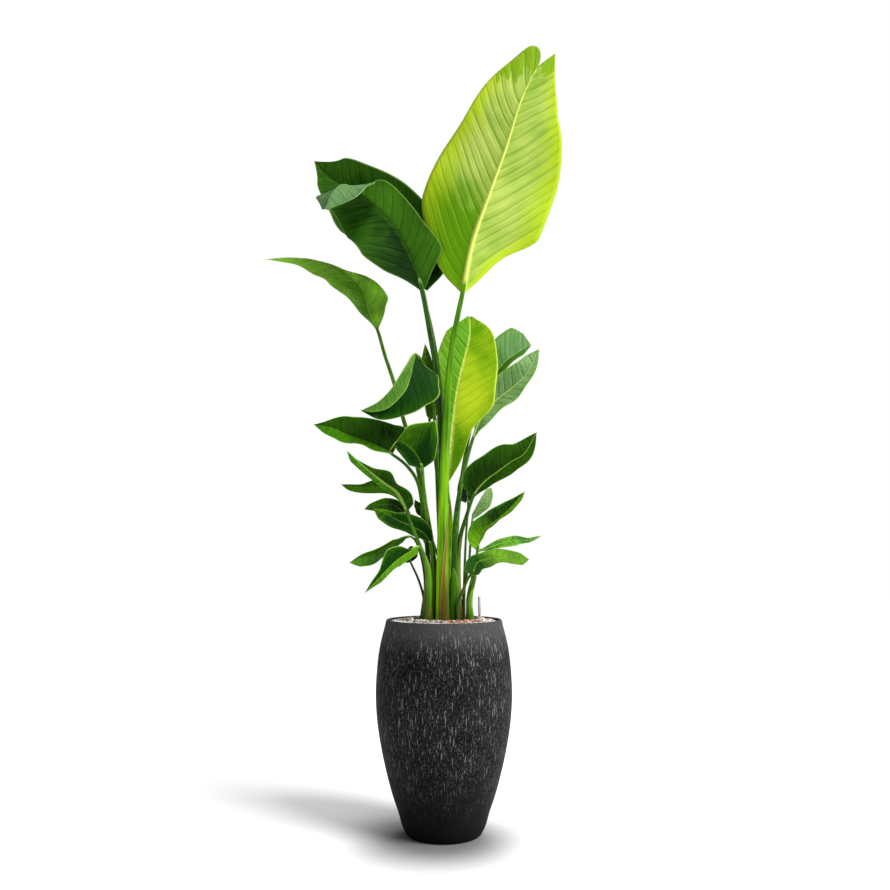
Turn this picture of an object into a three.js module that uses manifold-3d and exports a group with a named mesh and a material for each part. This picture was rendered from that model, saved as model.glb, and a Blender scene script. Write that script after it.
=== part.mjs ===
// A bird of paradise plant in a tall rounded planter, in millimetres, +Z up.
// The origin is the middle of the planter's foot, on the floor, and the front faces -Y.
import * as THREE from "three";
import { mergeVertices } from "three/addons/utils/BufferGeometryUtils.js";
import Module from "manifold-3d";

const wasm = await Module();
wasm.setup();

// Planter
const POT_HEIGHT = 600;
const POT_WALL = 10;
const POT_FLOOR = 16;
// Outer radius at each height, read from the foot to the shoulder below the rim.
const POT_OUTLINE = [
  [0, 98],
  [6, 108],
  [22, 118],
  [60, 130],
  [110, 147.5],
  [170, 164.5],
  [240, 180.5],
  [310, 192],
  [380, 197],
  [440, 195.5],
  [500, 190],
  [550, 180.5],
  [580, 172.5],
  [594, 169.5],
];
const POT_SIDES = 32;

// Fillings
const GAP = 0.35;
const HOLE_SIDES = 8;
const SOIL_TOP = 560;
const CROWN_TOP = 590;
const PUMICE_TOP = 592;
const STALK_FOOT = 480;
const STALK_COLLAR = 595;
// The stalks rise from an oval crown of soil, ringed by clay granules and then pumice.
const CLUMP = { x: 6, y: 14, rx: 100, ry: 88 };
const GRANULE_WIDTH = 16;
const GRANULE_HEAP = 7;

// Water gauge
const GAUGE = { x: 107, y: 80 };
// The planter narrows below, so the gauge ends where its wall would meet it.
const GAUGE_FOOT = 140;
const SLEEVE_RADIUS = 9;
const SLEEVE_BORE = 6.5;
const NECK_BORE = 3;
const SOCKET_FLOOR = 582;
const COLLAR_RADIUS = 16.5;
const COLLAR_TOP = 599;
const SIGHT_RADIUS = 5.2;
const SIGHT_WALL = 1;
const SIGHT_TOP = 662;
const FLOAT_RADIUS = 5;
const FLOAT_LENGTH = 50;
const FLOAT_TIP = 607;

// Leaves
const BLADE_THICKNESS = 1.3;
const FRONT = new THREE.Vector3(0, -1, 0);
// Where along the midrib the half widths are given, from the joint to the tip.
const STATIONS = [0, 0.06, 0.16, 0.32, 0.5, 0.7, 0.87, 1];

// Places across the blade, from the left margin (-1) to the right (1). The places at
// 0.01 are the two flanks of the midrib.
const WIDE_SPREAD = [-1, -0.66, -0.33, -0.01, 0, 0.01, 0.33, 0.66, 1];
const PLAIN_SPREAD = [-1, -0.5, -0.01, 0, 0.01, 0.5, 1];

// How finely a leaf is drawn: steps along the stalk and along the blade.
const DETAIL = {
  large: { stalkSteps: 7, bladeSteps: 14, spread: WIDE_SPREAD },
  middle: { stalkSteps: 5, bladeSteps: 9, spread: PLAIN_SPREAD },
  small: { stalkSteps: 4, bladeSteps: 7, spread: PLAIN_SPREAD },
};

// Each leaf:
//   base        where its stalk stands in the soil
//   stalk       points along the stalk
//   midrib      points along the midrib, from the joint to the tip
//   left, right half widths of the two sides at the stations
//   foldLeft, foldRight   how far each half folds to the front, in degrees, joint to tip
//   radius      the stalk's radius at the foot and at the joint
//   wave        the wave of the margin: height, count, phase
//   roll        how far the blade turns about its midrib, in degrees
//   lobe        how far the margins hang back beyond the joint
//   notch       how far the margins reach ahead of the midrib's tip
//   curlLeft    how far the left half curls over, in degrees
//   underside   true where the front face is the underside, with the raised midrib
const LEAVES = [
  {
    name: "great_leaf",
    detail: "large",
    colour: "great",
    base: [-6, -30],
    stalk: [[-5, -30, 770], [0, -35, 1005], [10, -40, 1240], [25, -45, 1405]],
    midrib: [
      [60, -55, 1585], [85, -75, 1710], [135, -105, 1850], [185, -135, 1985],
      [220, -160, 2095], [248, -170, 2160], [275, -175, 2210],
    ],
    left: [3, 68, 130, 195, 184, 148, 112, 64],
    right: [4, 42, 98, 188, 190, 158, 105, 27],
    foldLeft: [-16, -10, -6],
    foldRight: [-16, -10, -6],
    radius: [20, 6.5],
    wave: [6, 3, 0],
    lobe: 25,
    notch: 60,
    underside: true,
  },
  {
    name: "front_leaf",
    detail: "large",
    base: [0, 6],
    stalk: [[0, 4, 770], [-5, -5, 1035], [-10, -10, 1190], [-25, -20, 1350], [-40, -20, 1440]],
    midrib: [
      [-70, -30, 1595], [-95, -35, 1665], [-140, -45, 1755], [-185, -55, 1810],
      [-230, -75, 1845], [-270, -112, 1862], [-298, -162, 1850], [-320, -190, 1812],
      [-340, -202, 1765],
    ],
    left: [4, 45, 108, 142, 132, 95, 78, 12],
    right: [4, 40, 100, 82, 80, 88, 80, 12],
    foldLeft: [28, 20, 14],
    foldRight: [16, 12, 10],
    radius: [13, 7.5],
    wave: [7, 3, 0],
    roll: [0, 0, 0, 8, 42, 68, 68],
    lobe: 20,
  },
  {
    name: "back_leaf",
    detail: "large",
    base: [-26, 30],
    stalk: [[-5, 25, 770], [5, 25, 1010], [-5, 15, 1195], [-15, 10, 1310], [-30, 10, 1420]],
    midrib: [
      [-70, 25, 1600], [-95, 50, 1680], [-150, 90, 1805], [-235, 135, 1905], [-325, 165, 1980],
      [-380, 175, 2020], [-425, 155, 2065],
    ],
    left: [1, 25, 75, 135, 165, 140, 85, 0],
    right: [15, 90, 115, 125, 125, 105, 80, 0],
    foldLeft: [12, 20, 40],
    foldRight: [12, 20, 40],
    radius: [11, 6],
    wave: [4, 3, 0],
    lobe: 15,
  },
  {
    name: "far_left_leaf",
    colour: "fresh",
    base: [-46, 50],
    stalk: [
      [-30, 50, 740], [-60, 55, 950], [-90, 65, 1090], [-125, 75, 1200], [-155, 80, 1315],
      [-185, 85, 1405],
    ],
    midrib: [
      [-210, 95, 1490], [-235, 110, 1540], [-260, 125, 1620], [-320, 155, 1690],
      [-385, 170, 1725], [-490, 195, 1750], [-585, 205, 1750],
    ],
    left: [6, 15, 40, 80, 80, 50, 20, 0],
    right: [7, 55, 80, 40, 5, 3, 3, 0],
    foldLeft: [35, 25, 15],
    foldRight: [30, 25, 15],
    radius: [10, 5],
    wave: [5, 4, 1],
  },
  {
    name: "cupped_left_leaf",
    colour: "fresh",
    base: [-8, 54],
    stalk: [
      [-10, 55, 770], [-20, 55, 1010], [-28, 50, 1195], [-42, 30, 1300], [-62, -5, 1355],
    ],
    midrib: [
      [-85, -45, 1378], [-105, -70, 1345], [-130, -85, 1300], [-155, -95, 1260],
      [-190, -100, 1225], [-240, -100, 1200],
    ],
    left: [32, 80, 106, 128, 108, 74, 42, 0],
    right: [2, 8, 14, 27, 36, 34, 20, 0],
    foldLeft: [20, 15, 10],
    foldRight: [150, 145, 140],
    radius: [9, 4.5],
  },
  {
    name: "hidden_upright_leaf",
    detail: "small",
    base: [14, 66],
    stalk: [[5, 70, 770], [-20, 70, 1015], [-35, 80, 1135]],
    midrib: [[-45, 80, 1200], [-45, 85, 1245], [-50, 95, 1325], [-55, 110, 1395], [-60, 125, 1450]],
    left: [0, 10, 15, 15, 15, 20, 10, 0],
    right: [10, 30, 30, 35, 30, 20, 10, 0],
    foldLeft: [25, 20, 10],
    foldRight: [30, 20, 10],
    radius: [8, 4],
  },
  {
    name: "bright_middle_leaf",
    colour: "bright",
    base: [18, 42],
    stalk: [[15, 55, 770], [20, 60, 890]],
    midrib: [
      [10, 60, 1000], [20, 55, 1090], [30, 55, 1195], [45, 50, 1305], [65, 55, 1390],
      [80, 60, 1460], [80, 80, 1525],
    ],
    left: [4, 20, 35, 50, 60, 85, 75, 8],
    right: [2, 18, 38, 60, 118, 108, 76, 8],
    foldLeft: [10, 8, 8],
    foldRight: [14, 10, 12],
    radius: [11, 5.5],
    wave: [5, 3, 2],
  },
  {
    name: "right_back_leaf",
    colour: "fresh",
    base: [42, 52],
    stalk: [[35, 65, 770], [50, 100, 985], [75, 120, 1140], [105, 140, 1255]],
    midrib: [
      [135, 150, 1320], [175, 165, 1375], [205, 180, 1410], [245, 200, 1440], [285, 220, 1465],
    ],
    left: [4, 6, 20, 45, 72, 82, 84, 50],
    right: [4, 10, 20, 30, 30, 30, 15, 0],
    foldLeft: [10, 8, 5],
    foldRight: [50, 45, 40],
    radius: [9, 4],
  },
  {
    name: "right_upper_leaf",
    base: [27, -15],
    stalk: [[30, -20, 745], [35, -5, 890], [45, 30, 960], [60, 65, 1035]],
    midrib: [
      [90, 105, 1145], [115, 115, 1205], [160, 130, 1265], [215, 140, 1310], [265, 150, 1360],
      [305, 160, 1440],
    ],
    left: [4, 5, 20, 40, 60, 55, 35, 0],
    right: [4, 10, 25, 35, 40, 25, 15, 0],
    foldLeft: [24, 18, 10],
    foldRight: [20, 16, 10],
    radius: [12, 5],
    wave: [4, 3, 0],
  },
  {
    name: "left_level_leaf",
    base: [-46, 8],
    stalk: [[-45, 10, 740], [-60, 15, 890], [-80, 20, 1005], [-115, 20, 1055]],
    midrib: [
      [-155, 10, 1085], [-180, 0, 1100], [-230, -25, 1120], [-280, -55, 1135],
      [-330, -80, 1155], [-375, -100, 1160],
    ],
    left: [4, 15, 30, 35, 30, 50, 35, 0],
    right: [4, 90, 80, 75, 65, 50, 15, 0],
    foldLeft: [70, 60, 50],
    foldRight: [16, 12, 10],
    radius: [9, 4.5],
    wave: [3, 3, 0],
  },
  {
    name: "centre_left_leaf",
    base: [-30, -2],
    stalk: [[-25, 5, 740], [-45, 5, 860], [-55, -20, 945], [-60, -45, 990]],
    midrib: [
      [-65, -70, 1045], [-85, -95, 1080], [-110, -120, 1100], [-130, -150, 1105],
      [-155, -175, 1070],
    ],
    left: [4, 20, 35, 35, 30, 20, 8, 0],
    right: [4, 40, 60, 90, 115, 85, 120, 0],
    foldLeft: [10, 10, 5],
    foldRight: [12, 8, 5],
    radius: [9, 4.5],
    wave: [2, 3, 0],
    lobe: 10,
  },
  {
    name: "right_dark_leaf",
    base: [42, 6],
    stalk: [[40, 5, 740], [50, 0, 845], [65, -10, 895]],
    midrib: [
      [90, -20, 965], [125, -35, 1005], [160, -55, 1030], [195, -75, 1055], [230, -100, 1075],
      [265, -120, 1135],
    ],
    left: [4, 50, 70, 70, 65, 50, 25, 0],
    right: [4, 10, 20, 25, 30, 25, 15, 0],
    foldLeft: [22, 16, 10],
    foldRight: [18, 14, 10],
    radius: [10, 5],
    wave: [4, 3, 1],
    lobe: 15,
  },
  {
    name: "right_shade_leaf",
    detail: "small",
    base: [60, 62],
    stalk: [[62, 66, 740], [68, 78, 860], [73, 82, 925]],
    midrib: [[73, 84, 955], [69, 85, 990], [64, 84, 1020], [58, 83, 1046]],
    left: [6, 24, 30, 30, 26, 18, 10, 0],
    right: [6, 12, 16, 16, 14, 10, 5, 0],
    foldLeft: [10, 10],
    foldRight: [10, 10],
    radius: [5, 3],
    lobe: 12,
  },
  {
    name: "left_diagonal_leaf",
    detail: "small",
    base: [-50, -24],
    stalk: [[-45, -25, 730], [-55, -30, 775], [-75, -35, 825], [-95, -50, 875]],
    midrib: [
      [-110, -65, 915], [-120, -80, 940], [-135, -105, 965], [-170, -140, 990],
      [-215, -185, 1025], [-265, -230, 1070],
    ],
    left: [0, 3, 10, 15, 15, 15, 15, 0],
    right: [10, 30, 35, 25, 40, 15, 1, 0],
    foldLeft: [15, 15, 10],
    foldRight: [20, 15, 10],
    radius: [10, 4],
    wave: [3, 3, 0],
  },
  {
    name: "left_small_leaf",
    detail: "small",
    base: [-58, 22],
    stalk: [[-55, 20, 710], [-70, 15, 800], [-95, 20, 885]],
    midrib: [[-120, 22, 942], [-150, 24, 975], [-200, 45, 990], [-255, 65, 990], [-315, 80, 1000]],
    left: [4, 10, 15, 20, 25, 20, 15, 0],
    right: [0, 2, 10, 20, 20, 10, 5, 0],
    foldLeft: [30, 20, 10],
    foldRight: [25, 15, 10],
    radius: [7, 3.5],
  },
  {
    name: "left_shade_leaf",
    detail: "small",
    base: [-26, 70],
    stalk: [[-20, 75, 740], [-60, 75, 830], [-90, 65, 885]],
    midrib: [[-120, 58, 910], [-145, 42, 931], [-175, 24, 937], [-210, 5, 930], [-235, -10, 920]],
    left: [0, 10, 20, 25, 25, 20, 10, 0],
    right: [3, 10, 15, 20, 20, 15, 10, 0],
    foldLeft: [40, 30, 20],
    foldRight: [10, 5, 0],
    radius: [7, 3.5],
  },
  {
    name: "left_broad_leaf",
    colour: "fresh",
    base: [-33, -20],
    stalk: [[-30, -19, 700], [-34, -12, 765]],
    midrib: [
      [-40, -10, 820], [-60, -5, 850], [-95, -5, 870], [-140, -10, 890], [-175, -25, 910],
      [-205, -45, 920],
    ],
    left: [1, 10, 20, 25, 25, 30, 25, 0],
    right: [3, 15, 25, 35, 30, 15, 7, 0],
    foldLeft: [14, 12, 8],
    foldRight: [16, 12, 8],
    radius: [6.5, 4],
    wave: [3, 3, 0],
  },
  {
    name: "shade_bud_leaf",
    detail: "small",
    base: [-6, 76],
    stalk: [[-10, 80, 740], [-35, 90, 830], [-60, 95, 880]],
    midrib: [[-70, 95, 905], [-75, 100, 925], [-85, 105, 940], [-90, 110, 955]],
    left: [4, 8, 12, 14, 12, 8, 3, 0],
    right: [4, 8, 14, 16, 16, 12, 6, 0],
    foldLeft: [10, 10],
    foldRight: [10, 10],
    radius: [5, 3],
  },
  {
    name: "twisted_left_leaf",
    detail: "small",
    base: [-66, 0],
    stalk: [[-55, -10, 700], [-65, -20, 775], [-85, -30, 830]],
    midrib: [
      [-100, -40, 840], [-125, -50, 835], [-160, -65, 810], [-200, -85, 790],
      [-235, -105, 780], [-265, -125, 765],
    ],
    left: [4, 7, 15, 15, 20, 30, 25, 0],
    right: [4, 1, 4, 30, 25, 20, 10, 0],
    foldLeft: [30, 25, 20],
    foldRight: [60, 55, 50],
    radius: [6, 3],
  },
  {
    name: "lower_left_leaf",
    detail: "small",
    colour: "fresh",
    base: [-56, -42],
    stalk: [[-50, -50, 685], [-50, -60, 760]],
    midrib: [
      [-70, -65, 810], [-100, -85, 795], [-135, -110, 770], [-165, -140, 740],
      [-215, -190, 685],
    ],
    left: [4, 20, 20, 20, 15, 15, 7, 0],
    right: [0, 0, 10, 45, 60, 20, 10, 0],
    foldLeft: [10, 8, 5],
    foldRight: [25, 15, 8],
    radius: [6, 3.5],
  },
  {
    name: "low_back_leaf",
    detail: "small",
    base: [-62, 37],
    stalk: [[-60, 35, 655], [-75, 40, 710]],
    midrib: [[-100, 45, 765], [-105, 50, 780], [-115, 65, 785], [-125, 85, 765], [-135, 100, 750]],
    left: [10, 22, 30, 32, 28, 22, 12, 0],
    right: [10, 22, 30, 32, 28, 22, 12, 0],
    foldLeft: [20, 20],
    foldRight: [20, 20],
    radius: [5, 3],
  },
  {
    name: "right_pointed_leaf",
    colour: "fresh",
    base: [76, -8],
    stalk: [[75, -10, 655], [90, -10, 720], [95, -15, 770]],
    midrib: [
      [100, -20, 810], [115, -35, 860], [150, -60, 885], [185, -85, 915], [220, -105, 955],
      [230, -115, 965],
    ],
    left: [6, 32, 44, 48, 48, 34, 12, 0],
    right: [4, 3, 10, 10, 5, 10, 10, 0],
    foldLeft: [20, 15, 10],
    foldRight: [10, 10, 10],
    radius: [8, 4],
    lobe: 10,
    curlLeft: 20,
  },
  {
    name: "right_small_leaf",
    detail: "small",
    base: [56, 28],
    stalk: [[60, 20, 685], [75, 30, 770], [80, 35, 835]],
    midrib: [[85, 40, 885], [105, 55, 925], [125, 70, 960], [145, 85, 990]],
    left: [4, 5, 10, 10, 10, 10, 10, 0],
    right: [4, 1, 10, 20, 30, 25, 15, 0],
    foldLeft: [15, 15],
    foldRight: [25, 20],
    radius: [6, 3],
  },
  {
    name: "right_low_leaf",
    detail: "small",
    colour: "fresh",
    base: [73, 20],
    stalk: [[70, 25, 655], [85, 30, 725], [95, 35, 765]],
    midrib: [
      [100, 40, 795], [130, 50, 805], [170, 65, 820], [215, 80, 830], [260, 105, 830],
      [305, 130, 845],
    ],
    left: [4, 4, 10, 15, 15, 10, 6, 0],
    right: [4, 5, 10, 15, 20, 10, 4, 0],
    foldLeft: [35, 30, 20],
    foldRight: [25, 20, 10],
    radius: [6, 3],
  },
  {
    name: "lower_right_leaf",
    colour: "fresh",
    base: [40, -34],
    stalk: [[40, -35, 645], [55, -40, 685], [70, -50, 720]],
    midrib: [
      [85, -65, 740], [95, -80, 765], [120, -100, 775], [160, -130, 785], [195, -150, 780],
      [235, -175, 775],
    ],
    left: [4, 30, 30, 30, 30, 30, 25, 0],
    right: [0, 20, 25, 25, 20, 20, 20, 0],
    foldLeft: [20, 15, 10],
    foldRight: [24, 18, 12],
    radius: [7, 3.5],
    lobe: 15,
  },
];

// A closed geometry as a solid for joining and cutting.
function toSolid(geometry) {
  const bare = geometry.index ? geometry.toNonIndexed() : geometry.clone();
  bare.deleteAttribute("normal");
  bare.deleteAttribute("uv");
  const merged = mergeVertices(bare, 1e-3);
  return new wasm.Manifold(
    new wasm.Mesh({
      numProp: 3,
      vertProperties: new Float32Array(merged.attributes.position.array),
      triVerts: new Uint32Array(merged.index.array),
    }),
  );
}

function fromSolid(solid) {
  const mesh = solid.getMesh();
  const geometry = new THREE.BufferGeometry();
  geometry.setAttribute("position", new THREE.BufferAttribute(mesh.vertProperties, 3));
  geometry.setIndex(new THREE.BufferAttribute(mesh.triVerts, 1));
  return geometry;
}

// A solid of revolution about +Z from [radius, height] pairs that close on themselves.
function turned(profile, sides) {
  const points = profile.map(([r, z]) => new THREE.Vector2(r, z));
  return new THREE.LatheGeometry(points, sides).rotateX(Math.PI / 2);
}

function drum(radius, bottom, top, sides, x = 0, y = 0) {
  const geometry = new THREE.CylinderGeometry(radius, radius, top - bottom, sides);
  return geometry.rotateX(Math.PI / 2).translate(x, y, (top + bottom) / 2);
}

// A smooth value between the stations, without overshoot.
function between(values, t) {
  const last = STATIONS.length - 1;
  const step = (i) => STATIONS[i + 1] - STATIONS[i];
  const rise = (i) => (values[i + 1] - values[i]) / step(i);
  const slope = (i) => {
    if (i === 0) return rise(0);
    if (i === last) return rise(last - 1);
    const before = rise(i - 1);
    const after = rise(i);
    if (before * after <= 0) return 0;
    const a = (2 * step(i) + step(i - 1)) / 3;
    const b = (step(i) + 2 * step(i - 1)) / 3;
    return (step(i - 1) + step(i)) / (a / before + b / after);
  };
  let k = 0;
  while (k < last - 1 && t > STATIONS[k + 1]) k += 1;
  const s = (t - STATIONS[k]) / step(k);
  const s2 = s * s;
  const s3 = s2 * s;
  return (
    (2 * s3 - 3 * s2 + 1) * values[k] +
    (s3 - 2 * s2 + s) * step(k) * slope(k) +
    (3 * s2 - 2 * s3) * values[k + 1] +
    (s3 - s2) * step(k) * slope(k + 1)
  );
}

function ramp(values, t) {
  const place = t * (values.length - 1);
  const k = Math.min(Math.floor(place), values.length - 2);
  return values[k] + (values[k + 1] - values[k]) * (place - k);
}

// A closed body from a stack of equal rings of points. Each ring runs along its front
// face and back along its rear face, and both faces are split along the same diagonals.
function loft(rings, looped = false) {
  const count = rings[0].length;
  const positions = [];
  const face = (...corners) => corners.forEach((p) => positions.push(p.x, p.y, p.z));
  const spans = looped ? rings.length : rings.length - 1;
  for (let i = 0; i < spans; i += 1) {
    const lower = rings[i];
    const upper = rings[(i + 1) % rings.length];
    for (let j = 0; j < count; j += 1) {
      const k = (j + 1) % count;
      if (j < count / 2) {
        face(lower[j], lower[k], upper[k]);
        face(lower[j], upper[k], upper[j]);
      } else {
        face(lower[j], lower[k], upper[j]);
        face(lower[k], upper[k], upper[j]);
      }
    }
  }
  if (!looped) {
    const [first, last] = [rings[0], rings[rings.length - 1]];
    for (let j = 1; j < count / 2; j += 1) {
      const far = count - 1 - j;
      face(first[j - 1], first[far], first[j]);
      face(first[j - 1], first[far + 1], first[far]);
      face(last[j - 1], last[j], last[far]);
      face(last[j - 1], last[far], last[far + 1]);
    }
  }
  const geometry = new THREE.BufferGeometry();
  geometry.setAttribute("position", new THREE.Float32BufferAttribute(positions, 3));
  return geometry;
}

const degrees = (value) => (value * Math.PI) / 180;
const rightOf = (along) => new THREE.Vector3().crossVectors(along, FRONT).normalize();

// A round section of the stalk, as many points in front as behind.
function stalkRing(centre, along, radius, points) {
  const right = rightOf(along);
  const front = new THREE.Vector3().crossVectors(right, along);
  return Array.from({ length: 2 * points }, (_, j) => {
    const angle = Math.PI - ((j + 0.5) * Math.PI) / points;
    return centre
      .clone()
      .addScaledVector(right, Math.cos(angle) * radius)
      .addScaledVector(front, Math.sin(angle) * radius);
  });
}

// A section across the blade at t, from the left margin over the midrib to the right.
function bladeRing(leaf, frame, t, spread) {
  const { centre, along, right, front } = frame;
  const rib = leaf.radius[1] * (1 - 0.85 * t);
  const [height, count, phase] = leaf.wave ?? [0, 1, 0];
  const ahead = (leaf.notch ?? 0) * Math.max((t - 0.8) / 0.2, 0) ** 2;
  const behind = (leaf.lobe ?? 0) * Math.max(1 - t / 0.3, 0) ** 2;
  const facing = [];
  const backing = [];
  for (const u of spread) {
    const hand = Math.sign(u);
    const width = Math.max(between(hand > 0 ? leaf.right : leaf.left, t), 2);
    const nearRib = Math.abs(u) < 0.05 && u !== 0;
    const share = nearRib ? Math.min((1.4 * rib) / width, 0.3) : Math.abs(u);
    const fold = degrees(ramp(hand > 0 ? leaf.foldRight : leaf.foldLeft, t));
    const curl = hand > 0 ? 0 : degrees(leaf.curlLeft ?? 0);
    const turn = fold + curl * share;
    const out = curl ? (Math.sin(turn) - Math.sin(fold)) / curl : Math.cos(fold) * share;
    const lift = curl ? (Math.cos(fold) - Math.cos(turn)) / curl : Math.sin(fold) * share;
    const swing = Math.sin(2 * Math.PI * count * t + phase + (hand > 0 ? 1.3 : 0));
    const ripple = height * share * share * swing * Math.sin(Math.PI * t);
    const normal = front.clone();
    if (hand !== 0) {
      normal.multiplyScalar(Math.cos(turn)).addScaledVector(right, -hand * Math.sin(turn));
    }
    // At a notched tip the left lobe is round and the right one pointed.
    const tip = hand > 0 ? share : 1.7 * Math.sqrt(share * (1 - share));
    const point = centre
      .clone()
      .addScaledVector(right, hand * out * width)
      .addScaledVector(front, lift * width)
      .addScaledVector(along, tip * ahead - share * share * behind)
      .addScaledVector(normal, ripple);
    const keel = hand === 0 ? rib : 0;
    const inFront = BLADE_THICKNESS / 2 + (leaf.underside ? keel : 0);
    const behindIt = BLADE_THICKNESS / 2 + (leaf.underside ? 0 : keel);
    facing.push(point.clone().addScaledVector(normal, inFront));
    backing.unshift(point.clone().addScaledVector(normal, -behindIt));
  }
  return [...facing, ...backing];
}

// One leaf grown as one piece: stalk, midrib and blade.
function leafGeometry(leaf) {
  const [x, y] = leaf.base;
  const points = [[x, y, STALK_FOOT], [x, y, STALK_COLLAR], ...leaf.stalk, ...leaf.midrib];
  const knots = points.map((p) => new THREE.Vector3(...p));
  const curve = new THREE.CatmullRomCurve3(knots, false, "centripetal");
  const perSpan = 24;
  curve.arcLengthDivisions = (points.length - 1) * perSpan;
  const lengths = curve.getLengths();
  const whole = lengths[lengths.length - 1];
  const collar = lengths[perSpan] / whole;
  const joint = lengths[(leaf.stalk.length + 2) * perSpan] / whole;
  const { stalkSteps, bladeSteps, spread } = DETAIL[leaf.detail ?? "middle"];
  const rings = [];

  // Straight where it stands in the soil, then along the curve up to the joint.
  const stops = [0];
  for (let i = 0; i <= stalkSteps; i += 1) {
    stops.push(collar + ((joint - collar) * i) / stalkSteps);
  }
  for (const s of stops) {
    const radius = THREE.MathUtils.lerp(leaf.radius[0], leaf.radius[1], s / joint);
    rings.push(stalkRing(curve.getPointAt(s), curve.getTangentAt(s), radius, spread.length));
  }

  // The blade's frame is carried along the midrib without twisting.
  const fine = 80;
  const carried = [rightOf(curve.getTangentAt(joint))];
  for (let i = 1; i <= fine; i += 1) {
    const along = curve.getTangentAt(joint + ((1 - joint) * i) / fine);
    const right = carried[i - 1].clone();
    carried.push(right.addScaledVector(along, -right.dot(along)).normalize());
  }
  for (let i = 1; i <= bladeSteps; i += 1) {
    const even = i / bladeSteps;
    const t = Math.min(0.5 * even + 0.25 * (1 - Math.cos(Math.PI * even)), 0.985);
    const place = joint + (1 - joint) * t;
    const along = curve.getTangentAt(place);
    const right = carried[Math.round(t * fine)].clone();
    right.addScaledVector(along, -right.dot(along)).normalize();
    right.applyAxisAngle(along, -degrees(ramp(leaf.roll ?? [0, 0], t)));
    const front = new THREE.Vector3().crossVectors(right, along);
    const frame = { centre: curve.getPointAt(place), along, right, front };
    rings.push(bladeRing(leaf, frame, t, spread));
  }
  return loft(rings);
}

// The planter's outer radius at a height.
function potRadius(z) {
  const next = POT_OUTLINE.findIndex(([height]) => height >= z);
  const [z1, r1] = POT_OUTLINE[next];
  const [z0, r0] = POT_OUTLINE[Math.max(next - 1, 0)];
  return z1 === z0 ? r1 : r0 + ((r1 - r0) * (z - z0)) / (z1 - z0);
}

function potGeometry() {
  const outside = POT_OUTLINE.map(([z, r]) => [r, z]);
  const inside = POT_OUTLINE.filter(([z]) => z > POT_FLOOR + 2)
    .reverse()
    .map(([z, r]) => [r - POT_WALL, z]);
  const rim = potRadius(594);
  return turned(
    [
      [0, 0],
      ...outside,
      [rim - 1, POT_HEIGHT - 1.5],
      [rim - 3, POT_HEIGHT],
      [rim - POT_WALL + 3, POT_HEIGHT],
      [rim - POT_WALL + 1, POT_HEIGHT - 1.5],
      ...inside,
      [potRadius(POT_FLOOR) - POT_WALL, POT_FLOOR],
      [0, POT_FLOOR],
    ],
    POT_SIDES,
  );
}

// Holes that the stalks and the gauge stand in.
const snug = (radius, sides) => (radius + GAP) / Math.cos(Math.PI / sides);
const sleeveHole = (radius, bottom, top) =>
  toSolid(drum(snug(radius, 20), bottom, top, 20, GAUGE.x, GAUGE.y));

function soilGeometry() {
  const wall = POT_OUTLINE.filter(([z]) => z > POT_FLOOR + 2 && z < SOIL_TOP).map(([z, r]) => [
    r - POT_WALL - GAP,
    z,
  ]);
  const body = turned(
    [
      [0, POT_FLOOR + GAP],
      [potRadius(POT_FLOOR) - POT_WALL - GAP, POT_FLOOR + GAP],
      ...wall,
      [potRadius(SOIL_TOP) - POT_WALL - GAP, SOIL_TOP],
      [0, SOIL_TOP],
    ],
    POT_SIDES,
  );
  const crown = drum(1, SOIL_TOP - 5, CROWN_TOP, 24)
    .scale(CLUMP.rx, CLUMP.ry, 1)
    .translate(CLUMP.x, CLUMP.y, 0);
  let soil = toSolid(body).add(toSolid(crown));
  for (const leaf of LEAVES) {
    const [x, y] = leaf.base;
    const radius = snug(leaf.radius[0], HOLE_SIDES);
    const hole = drum(radius, STALK_FOOT - GAP, CROWN_TOP + 1, HOLE_SIDES, x, y);
    soil = soil.subtract(toSolid(hole));
  }
  return fromSolid(soil.subtract(sleeveHole(SLEEVE_RADIUS, GAUGE_FOOT - GAP, POT_HEIGHT)));
}

// A loose layer as a ring: its top rises and falls a little all round.
function looseRing(inner, outer, bottom, top, heap, roughness, steps) {
  const rings = [];
  for (let i = 0; i < steps; i += 1) {
    const angle = (2 * Math.PI * i) / steps;
    const at = (share, z) => {
      const rim = outer(angle, z);
      const start = inner(angle);
      return new THREE.Vector3(
        THREE.MathUtils.lerp(start[0], rim[0], share),
        THREE.MathUtils.lerp(start[1], rim[1], share),
        z,
      );
    };
    const bump = (share) =>
      roughness * (Math.sin(11 * angle + 5 * share) + Math.sin(23 * angle - 9 * share));
    rings.push([
      at(0, bottom),
      at(0, top),
      at(0.35, top + heap + bump(0.35)),
      at(0.7, top + heap + bump(0.7)),
      at(1, top),
      at(1, bottom),
    ]);
  }
  return loft(rings, true);
}

const oval = (extra) => (angle) => [
  CLUMP.x + (CLUMP.rx + extra) * Math.cos(angle),
  CLUMP.y + (CLUMP.ry + extra) * Math.sin(angle),
];

function granuleGeometry() {
  const bottom = SOIL_TOP + GAP;
  const top = CROWN_TOP + 3;
  const ring = looseRing(oval(GAP + 0.4), oval(GRANULE_WIDTH), bottom, top, GRANULE_HEAP, 1.2, 36);
  return fromSolid(
    toSolid(ring)
      .subtract(sleeveHole(COLLAR_RADIUS, PUMICE_TOP, POT_HEIGHT + 20))
      .subtract(sleeveHole(SLEEVE_RADIUS, GAUGE_FOOT - GAP, POT_HEIGHT)),
  );
}

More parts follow.
